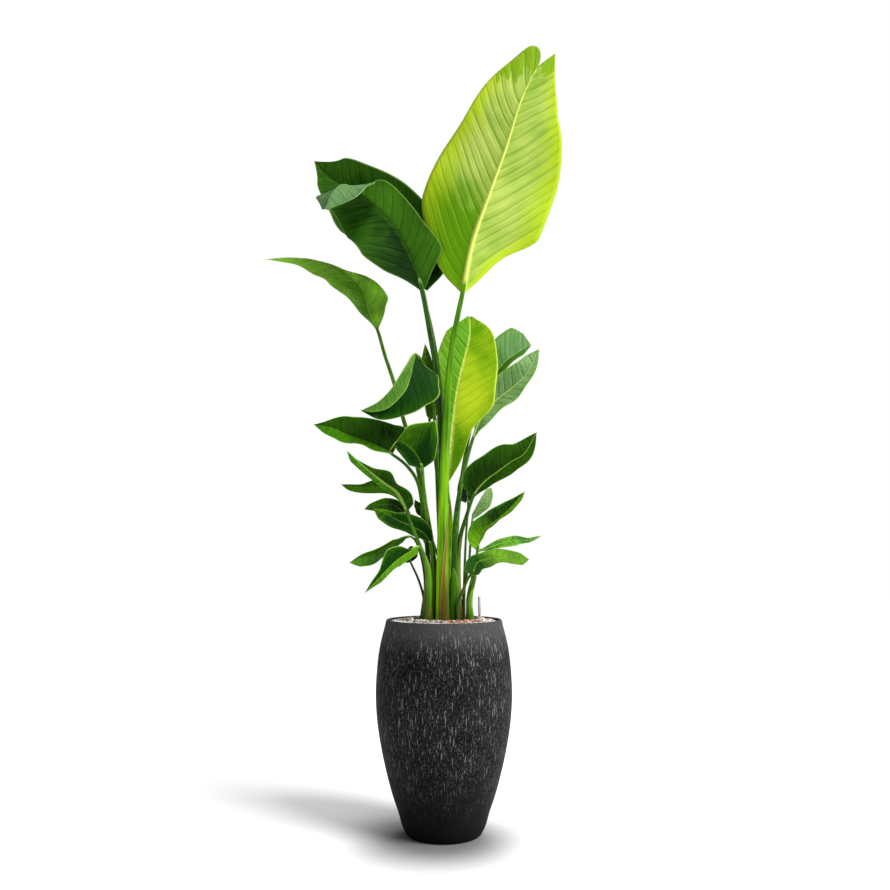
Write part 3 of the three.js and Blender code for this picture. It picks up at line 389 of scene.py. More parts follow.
# %% The leaves, one by one
LEAVES = {
    "great_leaf": dict(
        base=(-6, -30), radius=(20, 6.5), fold=((-16, -10, -6), (-16, -10, -6)), wave=(6, 3, 0),
        lobe=25, notch=60, underside=True,
        stalk=[(-5, -30, 770), (0, -35, 1005), (10, -40, 1240), (25, -45, 1405)],
        midrib=[(60, -55, 1585), (85, -75, 1710), (135, -105, 1850), (185, -135, 1985),
            (220, -160, 2095), (248, -170, 2160), (275, -175, 2210)],
        left=[3, 68, 130, 195, 184, 148, 112, 64], right=[4, 42, 98, 188, 190, 158, 105, 27]),
    "front_leaf": dict(
        base=(0, 6), radius=(13, 7.5), fold=((28, 20, 14), (16, 12, 10)), wave=(7, 3, 0), lobe=20,
        roll=(0, 0, 0, 8, 42, 68, 68),
        stalk=[(0, 4, 770), (-5, -5, 1035), (-10, -10, 1190), (-25, -20, 1350), (-40, -20, 1440)],
        midrib=[(-70, -30, 1595), (-95, -35, 1665), (-140, -45, 1755), (-185, -55, 1810),
            (-230, -75, 1845), (-270, -112, 1862), (-298, -162, 1850), (-320, -190, 1812),
            (-340, -202, 1765)],
        left=[4, 45, 108, 142, 132, 95, 78, 12], right=[4, 40, 100, 82, 80, 88, 80, 12]),
    "back_leaf": dict(
        base=(-26, 30), radius=(11, 6), fold=((12, 20, 40), (12, 20, 40)), wave=(4, 3, 0), lobe=15,
        stalk=[(-5, 25, 770), (5, 25, 1010), (-5, 15, 1195), (-15, 10, 1310), (-30, 10, 1420)],
        midrib=[(-70, 25, 1600), (-95, 50, 1680), (-150, 90, 1805), (-235, 135, 1905),
            (-325, 165, 1980), (-380, 175, 2020), (-425, 155, 2065)],
        left=[1, 25, 75, 135, 165, 140, 85, 0], right=[15, 90, 115, 125, 125, 105, 80, 0]),
    "far_left_leaf": dict(
        base=(-46, 50), radius=(10, 5), fold=((35, 25, 15), (30, 25, 15)), wave=(5, 4, 1),
        stalk=[(-30, 50, 740), (-60, 55, 950), (-90, 65, 1090), (-125, 75, 1200), (-155, 80, 1315),
            (-185, 85, 1405)],
        midrib=[(-210, 95, 1490), (-235, 110, 1540), (-260, 125, 1620), (-320, 155, 1690),
            (-385, 170, 1725), (-490, 195, 1750), (-585, 205, 1750)],
        left=[6, 15, 40, 80, 80, 50, 20, 0], right=[7, 55, 80, 40, 5, 3, 3, 0]),
    "cupped_left_leaf": dict(
        base=(-8, 54), radius=(9, 4.5), fold=((20, 15, 10), (150, 145, 140)),
        stalk=[(-10, 55, 770), (-20, 55, 1010), (-28, 50, 1195), (-42, 30, 1300), (-62, -5, 1355)],
        midrib=[(-85, -45, 1378), (-105, -70, 1345), (-130, -85, 1300), (-155, -95, 1260),
            (-190, -100, 1225), (-240, -100, 1200)],
        left=[32, 80, 106, 128, 108, 74, 42, 0], right=[2, 8, 14, 27, 36, 34, 20, 0]),
    "hidden_upright_leaf": dict(
        base=(14, 66), radius=(8, 4), fold=((25, 20, 10), (30, 20, 10)),
        stalk=[(5, 70, 770), (-20, 70, 1015), (-35, 80, 1135)],
        midrib=[(-45, 80, 1200), (-45, 85, 1245), (-50, 95, 1325), (-55, 110, 1395),
            (-60, 125, 1450)],
        left=[0, 10, 15, 15, 15, 20, 10, 0], right=[10, 30, 30, 35, 30, 20, 10, 0]),
    "bright_middle_leaf": dict(
        base=(18, 42), radius=(11, 5.5), fold=((10, 8, 8), (14, 10, 12)), wave=(5, 3, 2),
        stalk=[(15, 55, 770), (20, 60, 890)],
        midrib=[(10, 60, 1000), (20, 55, 1090), (30, 55, 1195), (45, 50, 1305), (65, 55, 1390),
            (80, 60, 1460), (80, 80, 1525)],
        left=[4, 20, 35, 50, 60, 85, 75, 8], right=[2, 18, 38, 60, 118, 108, 76, 8]),
    "right_back_leaf": dict(
        base=(42, 52), radius=(9, 4), fold=((10, 8, 5), (50, 45, 40)),
        stalk=[(35, 65, 770), (50, 100, 985), (75, 120, 1140), (105, 140, 1255)],
        midrib=[(135, 150, 1320), (175, 165, 1375), (205, 180, 1410), (245, 200, 1440),
            (285, 220, 1465)],
        left=[4, 6, 20, 45, 72, 82, 84, 50], right=[4, 10, 20, 30, 30, 30, 15, 0]),
    "right_upper_leaf": dict(
        base=(27, -15), radius=(12, 5), fold=((24, 18, 10), (20, 16, 10)), wave=(4, 3, 0),
        stalk=[(30, -20, 745), (35, -5, 890), (45, 30, 960), (60, 65, 1035)],
        midrib=[(90, 105, 1145), (115, 115, 1205), (160, 130, 1265), (215, 140, 1310),
            (265, 150, 1360), (305, 160, 1440)],
        left=[4, 5, 20, 40, 60, 55, 35, 0], right=[4, 10, 25, 35, 40, 25, 15, 0]),
    "left_level_leaf": dict(
        base=(-46, 8), radius=(9, 4.5), fold=((70, 60, 50), (16, 12, 10)), wave=(3, 3, 0),
        stalk=[(-45, 10, 740), (-60, 15, 890), (-80, 20, 1005), (-115, 20, 1055)],
        midrib=[(-155, 10, 1085), (-180, 0, 1100), (-230, -25, 1120), (-280, -55, 1135),
            (-330, -80, 1155), (-375, -100, 1160)],
        left=[4, 15, 30, 35, 30, 50, 35, 0], right=[4, 90, 80, 75, 65, 50, 15, 0]),
    "centre_left_leaf": dict(
        base=(-30, -2), radius=(9, 4.5), fold=((10, 10, 5), (12, 8, 5)), wave=(2, 3, 0), lobe=10,
        stalk=[(-25, 5, 740), (-45, 5, 860), (-55, -20, 945), (-60, -45, 990)],
        midrib=[(-65, -70, 1045), (-85, -95, 1080), (-110, -120, 1100), (-130, -150, 1105),
            (-155, -175, 1070)],
        left=[4, 20, 35, 35, 30, 20, 8, 0], right=[4, 40, 60, 90, 115, 85, 120, 0]),
    "right_dark_leaf": dict(
        base=(42, 6), radius=(10, 5), fold=((22, 16, 10), (18, 14, 10)), wave=(4, 3, 1), lobe=15,
        stalk=[(40, 5, 740), (50, 0, 845), (65, -10, 895)],
        midrib=[(90, -20, 965), (125, -35, 1005), (160, -55, 1030), (195, -75, 1055),
            (230, -100, 1075), (265, -120, 1135)],
        left=[4, 50, 70, 70, 65, 50, 25, 0], right=[4, 10, 20, 25, 30, 25, 15, 0]),
    "right_shade_leaf": dict(
        base=(60, 62), radius=(5, 3), fold=((10, 10), (10, 10)), lobe=12,
        stalk=[(62, 66, 740), (68, 78, 860), (73, 82, 925)],
        midrib=[(73, 84, 955), (69, 85, 990), (64, 84, 1020), (58, 83, 1046)],
        left=[6, 24, 30, 30, 26, 18, 10, 0], right=[6, 12, 16, 16, 14, 10, 5, 0]),
    "left_diagonal_leaf": dict(
        base=(-50, -24), radius=(10, 4), fold=((15, 15, 10), (20, 15, 10)), wave=(3, 3, 0),
        stalk=[(-45, -25, 730), (-55, -30, 775), (-75, -35, 825), (-95, -50, 875)],
        midrib=[(-110, -65, 915), (-120, -80, 940), (-135, -105, 965), (-170, -140, 990),
            (-215, -185, 1025), (-265, -230, 1070)],
        left=[0, 3, 10, 15, 15, 15, 15, 0], right=[10, 30, 35, 25, 40, 15, 1, 0]),
    "left_small_leaf": dict(
        base=(-58, 22), radius=(7, 3.5), fold=((30, 20, 10), (25, 15, 10)),
        stalk=[(-55, 20, 710), (-70, 15, 800), (-95, 20, 885)],
        midrib=[(-120, 22, 942), (-150, 24, 975), (-200, 45, 990), (-255, 65, 990), (-315, 80, 1000)],
        left=[4, 10, 15, 20, 25, 20, 15, 0], right=[0, 2, 10, 20, 20, 10, 5, 0]),
    "left_shade_leaf": dict(
        base=(-26, 70), radius=(7, 3.5), fold=((40, 30, 20), (10, 5, 0)),
        stalk=[(-20, 75, 740), (-60, 75, 830), (-90, 65, 885)],
        midrib=[(-120, 58, 910), (-145, 42, 931), (-175, 24, 937), (-210, 5, 930), (-235, -10, 920)],
        left=[0, 10, 20, 25, 25, 20, 10, 0], right=[3, 10, 15, 20, 20, 15, 10, 0]),
    "left_broad_leaf": dict(
        base=(-33, -20), radius=(6.5, 4), fold=((14, 12, 8), (16, 12, 8)), wave=(3, 3, 0),
        stalk=[(-30, -19, 700), (-34, -12, 765)],
        midrib=[(-40, -10, 820), (-60, -5, 850), (-95, -5, 870), (-140, -10, 890), (-175, -25, 910),
            (-205, -45, 920)],
        left=[1, 10, 20, 25, 25, 30, 25, 0], right=[3, 15, 25, 35, 30, 15, 7, 0]),
    "shade_bud_leaf": dict(
        base=(-6, 76), radius=(5, 3), fold=((10, 10), (10, 10)),
        stalk=[(-10, 80, 740), (-35, 90, 830), (-60, 95, 880)],
        midrib=[(-70, 95, 905), (-75, 100, 925), (-85, 105, 940), (-90, 110, 955)],
        left=[4, 8, 12, 14, 12, 8, 3, 0], right=[4, 8, 14, 16, 16, 12, 6, 0]),
    "twisted_left_leaf": dict(
        base=(-66, 0), radius=(6, 3), fold=((30, 25, 20), (60, 55, 50)),
        stalk=[(-55, -10, 700), (-65, -20, 775), (-85, -30, 830)],
        midrib=[(-100, -40, 840), (-125, -50, 835), (-160, -65, 810), (-200, -85, 790),
            (-235, -105, 780), (-265, -125, 765)],
        left=[4, 7, 15, 15, 20, 30, 25, 0], right=[4, 1, 4, 30, 25, 20, 10, 0]),
    "lower_left_leaf": dict(
        base=(-56, -42), radius=(6, 3.5), fold=((10, 8, 5), (25, 15, 8)),
        stalk=[(-50, -50, 685), (-50, -60, 760)],
        midrib=[(-70, -65, 810), (-100, -85, 795), (-135, -110, 770), (-165, -140, 740),
            (-215, -190, 685)],
        left=[4, 20, 20, 20, 15, 15, 7, 0], right=[0, 0, 10, 45, 60, 20, 10, 0]),
    "low_back_leaf": dict(
        base=(-62, 37), radius=(5, 3), fold=((20, 20), (20, 20)),
        stalk=[(-60, 35, 655), (-75, 40, 710)],
        midrib=[(-100, 45, 765), (-105, 50, 780), (-115, 65, 785), (-125, 85, 765), (-135, 100, 750)],
        left=[10, 22, 30, 32, 28, 22, 12, 0], right=[10, 22, 30, 32, 28, 22, 12, 0]),
    "right_pointed_leaf": dict(
        base=(76, -8), radius=(8, 4), fold=((20, 15, 10), (10, 10, 10)), lobe=10, curl_left=20,
        stalk=[(75, -10, 655), (90, -10, 720), (95, -15, 770)],
        midrib=[(100, -20, 810), (115, -35, 860), (150, -60, 885), (185, -85, 915), (220, -105, 955),
            (230, -115, 965)],
        left=[6, 32, 44, 48, 48, 34, 12, 0], right=[4, 3, 10, 10, 5, 10, 10, 0]),
    "right_small_leaf": dict(
        base=(56, 28), radius=(6, 3), fold=((15, 15), (25, 20)),
        stalk=[(60, 20, 685), (75, 30, 770), (80, 35, 835)],
        midrib=[(85, 40, 885), (105, 55, 925), (125, 70, 960), (145, 85, 990)],
        left=[4, 5, 10, 10, 10, 10, 10, 0], right=[4, 1, 10, 20, 30, 25, 15, 0]),
    "right_low_leaf": dict(
        base=(73, 20), radius=(6, 3), fold=((35, 30, 20), (25, 20, 10)),
        stalk=[(70, 25, 655), (85, 30, 725), (95, 35, 765)],
        midrib=[(100, 40, 795), (130, 50, 805), (170, 65, 820), (215, 80, 830), (260, 105, 830),
            (305, 130, 845)],
        left=[4, 4, 10, 15, 15, 10, 6, 0], right=[4, 5, 10, 15, 20, 10, 4, 0]),
    "lower_right_leaf": dict(
        base=(40, -34), radius=(7, 3.5), fold=((20, 15, 10), (24, 18, 12)), lobe=15,
        stalk=[(40, -35, 645), (55, -40, 685), (70, -50, 720)],
        midrib=[(85, -65, 740), (95, -80, 765), (120, -100, 775), (160, -130, 785), (195, -150, 780),
            (235, -175, 775)],
        left=[4, 30, 30, 30, 30, 30, 25, 0], right=[0, 20, 25, 25, 20, 20, 20, 0]),
}

# %% [markdown]
# A smooth curve through a few points makes a natural stalk. The centripetal kind has no
# loops or overshoot where the points are unevenly spaced.

# %% Curves and smooth values
FRONT = np.array([0.0, -1.0, 0.0])
STATIONS = np.array([0, 0.06, 0.16, 0.32, 0.5, 0.7, 0.87, 1])
STALK_FOOT = 480
STALK_COLLAR = 595


def unit(vectors):
    return vectors / np.maximum(np.linalg.norm(vectors, axis=-1, keepdims=True), 1e-9)


class Path:
    """A centripetal curve through points, read by its length."""

    def __init__(self, points, per_span=24):
        p = np.array(points, float)
        ends = [2 * p[0] - p[1], *p, 2 * p[-1] - p[-2]]
        made = []
        self.knots = [0]
        for i in range(1, len(ends) - 2):
            a, b, c, d = ends[i - 1 : i + 3]
            tb = np.linalg.norm(b - a) ** 0.5
            tc = tb + np.linalg.norm(c - b) ** 0.5
            td = tc + np.linalg.norm(d - c) ** 0.5
            t = (tb + (tc - tb) * np.arange(per_span) / per_span)[:, None]
            ab = (tb - t) / tb * a + t / tb * b
            bc = (tc - t) / (tc - tb) * b + (t - tb) / (tc - tb) * c
            cd = (td - t) / (td - tc) * c + (t - tc) / (td - tc) * d
            abc = (tc - t) / tc * ab + t / tc * bc
            bcd = (td - t) / (td - tb) * bc + (t - tb) / (td - tb) * cd
            made.append((tc - t) / (tc - tb) * abc + (t - tb) / (tc - tb) * bcd)
            self.knots.append(i * per_span)
        self.points = np.concatenate([*made, p[-1:]])
        steps = np.linalg.norm(np.diff(self.points, axis=0), axis=1)
        self.lengths = np.concatenate([[0], np.cumsum(steps)])
        self.whole = self.lengths[-1]

    def at(self, length):
        return np.stack([np.interp(length, self.lengths, self.points[:, k]) for k in range(3)], -1)

    def along(self, length):
        step = self.whole * 0.006
        after = self.at(np.minimum(length + step, self.whole))
        return unit(after - self.at(np.maximum(length - step, 0)))


def ramp(values, t):
    return np.interp(t, np.linspace(0, 1, len(values)), values)


def between(values, t):
    """A smooth value between the stations, without overshoot."""
    y = np.array(values, float)
    step = np.diff(STATIONS)
    rise = np.diff(y) / step
    slope = np.zeros(len(y))
    slope[0], slope[-1] = rise[0], rise[-1]
    for i in range(1, len(y) - 1):
        if rise[i - 1] * rise[i] > 0:
            a = (2 * step[i] + step[i - 1]) / 3
            b = (step[i] + 2 * step[i - 1]) / 3
            slope[i] = (step[i - 1] + step[i]) / (a / rise[i - 1] + b / rise[i])
    k = np.clip(np.searchsorted(STATIONS, t, side="right") - 1, 0, len(step) - 1)
    s = (t - STATIONS[k]) / step[k]
    return (
        (2 * s**3 - 3 * s**2 + 1) * y[k]
        + (s**3 - 2 * s**2 + s) * step[k] * slope[k]
        + (3 * s**2 - 2 * s**3) * y[k + 1]
        + (s**3 - s**2) * step[k] * slope[k + 1]
    )


print("stations along a blade", STATIONS)

# %% [markdown]
# The blade needs a direction to spread in at every point of the midrib. It starts square
# to the viewer at the joint and is carried along without twisting, so the blade doesn't
# spin where the midrib curves.

# %% The blade's frame
def blade_frame(leaf, t):
    path = leaf["path"]
    fine = np.linspace(0, 1, 81)
    along = path.along(leaf["joint"] + (path.whole - leaf["joint"]) * fine)
    right = [unit(np.cross(along[0], FRONT))]
    for direction in along[1:]:
        right.append(unit(right[-1] - direction * np.dot(right[-1], direction)))
    right = np.array(right)
    along = unit(np.stack([np.interp(t, fine, along[:, k]) for k in range(3)], -1))
    right = np.stack([np.interp(t, fine, right[:, k]) for k in range(3)], -1)
    right = unit(right - along * np.sum(right * along, axis=-1, keepdims=True))
    front = np.cross(right, along)
    roll = np.radians(ramp(leaf.get("roll", (0, 0)), t))[:, None]
    centre = path.at(leaf["joint"] + (path.whole - leaf["joint"]) * t)
    turned_right = right * np.cos(roll) + front * np.sin(roll)
    turned_front = front * np.cos(roll) - right * np.sin(roll)
    return centre, along, turned_right, turned_front


# %% [markdown]
# The blade is a grid bent into place. It folds along the midrib, waves at the margin and
# is pleated along its veins, and the midrib is pressed in as a groove on the upper face.
# A formula for each of these, added up, is easier to change than a hand-pushed mesh.

# %% The blade's surface
MIDRIB_THINNING = 0.85
PALE_BAND_THINNING = 0.75
NOTCH_FROM = 0.8
LOBE_UNTIL = 0.3


def midrib_radius(leaf, t):
    return leaf["radius"][1] * (1 - MIDRIB_THINNING * t)


def bent_out(fold, curl, share):
    """How far out and how far forward a point lies on a half that folds and curls."""
    if curl == 0:
        return np.cos(fold) * share, np.sin(fold) * share
    turn = fold + curl * share
    return (np.sin(turn) - np.sin(fold)) / curl, (np.cos(fold) - np.cos(turn)) / curl


def vein_number(leaf, t, far, hand, reach):
    """The veins leave the midrib slantwise and aren't quite evenly spaced."""
    vein = t - leaf["slant"] * (far / 100) ** 1.15 * 100 / reach
    return leaf["pleats"] * (vein + 0.012 * np.sin(21 * vein + 2 * hand))


def blade_surface(leaf, t, u):
    """Points, vein numbers and midrib distances: along the blade t, across it u."""
    centre, along, right, front = blade_frame(leaf, t)
    reach = leaf["path"].whole - leaf["joint"]
    height, count, phase = leaf.get("wave", (0, 1, 0))
    rib = midrib_radius(leaf, t)
    pale_band = leaf["rib_width"] * leaf["radius"][1] * (1 - PALE_BAND_THINNING * t)
    pale_band = np.maximum(pale_band, 0.9)
    ahead = leaf.get("notch", 0) * np.clip((t - NOTCH_FROM) / (1 - NOTCH_FROM), 0, 1) ** 2
    behind = leaf.get("lobe", 0) * np.clip(1 - t / LOBE_UNTIL, 0, 1) ** 2
    facing = 1 if leaf.get("underside") else -1
    points = np.zeros((len(t), len(u), 3))
    veins = np.zeros((len(t), len(u)))
    ribs = np.zeros((len(t), len(u)))
    for j, place in enumerate(u):
        hand = 1 if place >= 0 else -1
        share = abs(place)
        width = np.maximum(between(leaf["right" if hand > 0 else "left"], t), 0.6)
        far = share * width
        fold = np.radians(ramp(leaf["fold"][(hand + 1) // 2], t))
        curl = math.radians(leaf.get("curl_left", 0)) if hand < 0 else 0
        out, lift = bent_out(fold, curl, share)
        turn = fold + curl * share
        normal = front * np.cos(turn)[:, None] - hand * right * np.sin(turn)[:, None]
        swing = np.sin(2 * np.pi * count * t + phase + (1.3 if hand > 0 else 0))
        wave = height * share**2 * swing * np.sin(np.pi * t)
        vein = vein_number(leaf, t, far, hand, reach)
        crease = np.abs(np.sin(np.pi * vein)) ** 0.6 - 0.5
        flat_edge = np.sin(np.pi * np.clip(share, 0, 1) ** 0.8) * np.clip(far / 40, 0, 1)
        pleat = leaf["pleat_depth"] * crease * flat_edge
        press = facing * 0.3 * rib * np.exp(-((far / (1.4 * rib)) ** 2))
        tip_shape = share if hand > 0 else 1.7 * math.sqrt(share * (1 - share))
        points[:, j] = (
            centre
            + right * (hand * out * width)[:, None]
            + front * (lift * width)[:, None]
            + along * (tip_shape * ahead - share**2 * behind)[:, None]
            + normal * (wave + pleat + press)[:, None]
        )
        veins[:, j] = vein
        ribs[:, j] = far / pale_band
    return points, veins, ribs


print("a midrib keeps", round(1 - MIDRIB_THINNING, 2), "of its radius at the tip")

# %% [markdown]
# Blender's own grid is a good start: it already has the rows and columns. Its points are
# moved to the blade's surface, and a Solidify modifier gives the blade its thickness and
# puts the second material on the back face.

# %% Making one blade
BLADE_THICKNESS = 1.1


def store(mesh, name, numbers):
    """Keeps a number with every point, where a finish can read it."""
    mesh.attributes.new(name, "FLOAT", "POINT").data.foreach_set("value", numbers)


def bent_grid(points, rows, columns):
    """A grid moved onto the surface, and the row and column of each of its points."""
    select_only()
    bpy.ops.mesh.primitive_grid_add(x_subdivisions=columns, y_subdivisions=rows, size=1)
    grid = bpy.context.object
    mesh = grid.data
    mesh.uv_layers[0].name = "blade"
    flat = np.empty(len(mesh.vertices) * 3)
    mesh.vertices.foreach_get("co", flat)
    flat = flat.reshape(-1, 3)
    column = np.rint((flat[:, 0] + 0.5) * columns).astype(int)
    row = np.rint((flat[:, 1] + 0.5) * rows).astype(int)
    mesh.vertices.foreach_set("co", (points[row, column] * MM).ravel())
    return grid, row, column


def thicken(piece, thickness, back_material=0):
    thick = piece.modifiers.new("thickness", "SOLIDIFY")
    thick.thickness = thickness * MM
    thick.offset = 0
    thick.material_offset = back_material
    bpy.ops.object.modifier_apply(modifier="thickness")
    bpy.ops.object.shade_smooth()


def make_blade(leaf, rows, columns):
    """Rows crowd towards the ends of the blade and columns towards its midrib."""
    even = np.linspace(0, 1, rows + 1)
    t = 0.6 * even + 0.4 * 0.5 * (1 - np.cos(np.pi * even))
    s = np.linspace(-1, 1, columns + 1)
    u = np.sign(s) * np.abs(s) ** 1.5
    points, veins, ribs = blade_surface(leaf, t, u)
    blade, row, column = bent_grid(points, rows, columns)
    mesh = blade.data
    store(mesh, "vein", veins[row, column])
    store(mesh, "rib", ribs[row, column])
    store(mesh, "rib_light", np.full(len(row), leaf["rib_light"]))
    left, right = leaf["tone"]
    tone = np.where(u[column] < 0, ramp(left, t[row]), ramp(right, t[row]))
    middle = np.clip(np.abs(u[column]) * 12, 0, 1)
    store(mesh, "tone", tone * middle)
    corner = np.empty(len(mesh.loops), int)
    mesh.loops.foreach_get("vertex_index", corner)
    across_along = np.stack([0.5 + 0.5 * u[column], t[row]], -1)
    mesh.uv_layers["blade"].data.foreach_set("uv", across_along[corner].ravel())
    bpy.ops.object.mode_set(mode="EDIT")
    bpy.ops.mesh.select_all(action="SELECT")
    bpy.ops.mesh.remove_doubles(threshold=1e-5)
    bpy.ops.object.mode_set(mode="OBJECT")
    mesh.materials.append(UPPER[leaf["finish"]])
    mesh.materials.append(UNDER[leaf["finish"]])
    thicken(blade, BLADE_THICKNESS, back_material=1)
    return blade


print("blades", BLADE_THICKNESS, "mm thick")

# %% [markdown]
# A stalk is round where it leaves the mix and has a shallow channel further up. It goes
# on as the midrib, thinner and thinner, just behind the blade, or in front of it where
# the leaf shows its back. A curve with a thickness at each point gives exactly that.

# %% Making one stalk
STALK_SIDES = 18
STEM_RINGS = 45
MIDRIB_RINGS = 34
MIDRIB_END = 0.96


def rings_round(centres, rights, fronts, reach, angle):
    """Points round each centre, at these angles and this far out."""
    return (
        centres[:, None]
        + rights[:, None] * (reach * np.cos(angle))[..., None]
        + fronts[:, None] * (reach * np.sin(angle))[..., None]
    )


def make_stalk(leaf):
    """Rings up the stem and along the midrib; the channel and its edges face the front."""
    path = leaf["path"]
    joint = leaf["joint"]
    foot, top = leaf["radius"]
    stem = np.linspace(path.lengths[path.knots[1]], joint, STEM_RINGS, endpoint=False)
    t = np.linspace(0, MIDRIB_END, MIDRIB_RINGS)
    centre, along, right, front = blade_frame(leaf, t)
    rib = midrib_radius(leaf, t)
    facing = 1 if leaf.get("underside") else -1
    off_blade, share = (0.35, 0.85) if facing > 0 else (1.05, 0.75)
    onto = np.clip(t / 0.06, 0, 1)
    centre = centre + front * (facing * off_blade * rib * onto)[:, None]
    stem_along = path.along(stem)
    stem_right = unit(np.cross(stem_along, FRONT))
    stem_front = np.cross(stem_right, stem_along)
    centres = np.concatenate([[path.at(0.0)], path.at(stem), centre])
    rights = np.concatenate([stem_right[:1], stem_right, right])
    fronts = np.concatenate([stem_front[:1], stem_front, front])
    stem_radius = foot + (top - foot) * stem / joint
    radii = np.concatenate([[foot], stem_radius, rib * (1 + (share - 1) * onto)])
    stem_channel = np.clip(stem / joint * 1.6 - 0.2, 0, 1)
    channel = np.concatenate([[0], stem_channel, np.clip(1 - t * 4, 0, 1)])
    rows, sides = len(centres), STALK_SIDES
    angle = np.arange(sides) * 2 * np.pi / sides
    from_front = np.angle(np.exp(1j * (angle - np.pi / 2)))
    toward = np.exp(-((from_front / 0.55) ** 2))
    reach = radii[:, None] * (1 - 0.4 * channel[:, None] * toward[None, :])
    ring = rings_round(centres, rights, fronts, reach, angle)
    edge = np.exp(-(((np.abs(from_front) - 0.75) / 0.16) ** 2))
    edges = edge[None, :] * channel[:, None] * 0.7
    select_only()
    bpy.ops.mesh.primitive_cylinder_add(vertices=sides, end_fill_type="NOTHING")
    stalk = bpy.context.object
    mesh = stalk.data
    faces = []
    for i in range(rows - 1):
        for j in range(sides):
            k = (j + 1) % sides
            faces.append((i * sides + j, i * sides + k, (i + 1) * sides + k, (i + 1) * sides + j))
    faces.append(tuple(reversed(range(sides))))
    faces.append(tuple((rows - 1) * sides + j for j in range(sides)))
    mesh.clear_geometry()
    mesh.from_pydata((ring.reshape(-1, 3) * MM).tolist(), [], faces)
    store(mesh, "edge", edges.ravel())
    on_blade = np.concatenate([np.zeros(len(stem) + 1), np.clip(t / 0.03, 0, 1)])
    store(mesh, "on_blade", np.repeat(on_blade, sides))
    mesh.materials.append(STALK[leaf["finish"]])
    bpy.ops.object.shade_smooth()
    return stalk


print("stalks with", STEM_RINGS + MIDRIB_RINGS + 1, "rings of", STALK_SIDES, "points")

# %% [markdown]
# The oldest stalks end below in sheaths: thin pointed wraps round the younger stalks, with
# pale papery edges, green on some and dried brown on others. Each is a grid wrapped
# part of the way round its stalk, narrowing to its tip.

# %% The sheath's finish
def sheath_material(name, dark, light, dry, worn):
    made, t, surface = material(name, 0.55, gloss=0.08)
    wrap_map = t.add("ShaderNodeUVMap", uv_map="blade").outputs[0]
    side = t.off_middle(t.part(wrap_map, 0))
    rise = t.part(wrap_map, 1)
    streaks = t.span(t.noise(t.place(wrap_map, (26, 1.6, 1)), 1.0, 3.0, 0.6), 0.3, 0.7)
    patches = t.noise(t.place(wrap_map, (9, 1.6, 1)), 1.0, 3.0, 0.6)
    colour = t.mix(streaks, dark, light)
    low = t.span(rise, 0.0, 0.35, 0.14, 0.0)
    dried = t.math("ADD", t.times_add(side, 0.4, patches), low)
    colour = t.mix(t.span(dried, 1.0 - worn, 1.1 - worn), colour, dry)
    colour = t.mix(t.span(side, 0.9, 1.0, 0.0, 0.85), colour, (200, 192, 130))
    # Painted shade: the sheath darkens towards its foot.
    colour = t.mix(t.span(rise, 0.0, 0.5, 0.6, 0.0), colour, (14, 34, 0))
    t.wire(colour, surface["Base Color"])
    t.bump(surface, streaks, 0.4, 0.001)
    return made


SHEATH = {
    "green": sheath_material("green sheath", (16, 66, 0), (78, 134, 14), (120, 120, 40), 0.1),
    "light": sheath_material("light sheath", (40, 100, 0), (116, 160, 30), (170, 170, 60), 0.1),
    "brown": sheath_material("dried sheath", (50, 100, 4), (110, 146, 30), (112, 84, 16), 0.3),
}
# for each: the leaf whose stalk it wraps, tip height, reach round (degrees), the way it
# faces (degrees right of the front), flare at the foot, finish
SHEATHS = [
    ("great_leaf", 930, 110, 95, 3, "brown"),
    ("left_diagonal_leaf", 812, 125, 0, 7, "light"),
    ("left_diagonal_leaf", 665, 120, -50, 9, "green"),
    ("left_diagonal_leaf", 700, 50, 80, 10, "brown"),
    ("right_upper_leaf", 748, 125, -10, 6, "green"),
    ("right_dark_leaf", 842, 90, 10, 3, "brown"),
    ("right_pointed_leaf", 690, 130, 10, 5, "light"),
    ("bright_middle_leaf", 700, 120, 30, 4, "brown"),
]
print("sheath finishes", list(SHEATH))

# %% [markdown]
# The sheath follows its own stalk's path, so the same path gives its foot, its lean and
# its tip. The grid's sides close in towards the tip and its foot spreads a little.

# %% Making one sheath
SHEATH_THICKNESS = 0.9
SHEATH_GAP = 1.2
SHEATH_ROWS = 36
SHEATH_COLUMNS = 16


def make_sheath(leaf, tip_height, reach, facing, flare, finish):
    path = leaf["path"]
    start = path.lengths[path.knots[1]]
    lengths = np.linspace(start, leaf["joint"], 200)
    end = lengths[np.argmax(path.at(lengths)[:, 2] > tip_height)]
    v = np.linspace(0, 1, SHEATH_ROWS + 1)
    lengths = start + (end - start) * v
    along = path.along(lengths)
    right = unit(np.cross(along, FRONT))
    front = np.cross(right, along)
    foot, top = leaf["radius"]
    radius = foot + (top - foot) * lengths / leaf["joint"] + SHEATH_GAP + flare * (1 - v) ** 1.5
    span = math.radians(reach) * (1 - v**2.2) ** 0.8
    s = np.linspace(-1, 1, SHEATH_COLUMNS + 1)
    angle = math.radians(90 - facing) - s[None, :] * span[:, None]
    ring = rings_round(path.at(lengths), right, front, radius[:, None], angle)
    sheath = bent_grid(ring, SHEATH_ROWS, SHEATH_COLUMNS)[0]
    sheath.data.materials.append(SHEATH[finish])
    thicken(sheath, SHEATH_THICKNESS)
    return sheath


print("sheaths", SHEATH_THICKNESS, "mm thick")

# %% [markdown]
# Each leaf of the table now gets its finish. A tone for each half at the joint, the middle
# and the tip makes it darker or lighter there, because the leaves hang in each other's
# light. Then blade, stalk and sheaths are joined into the one grown piece.

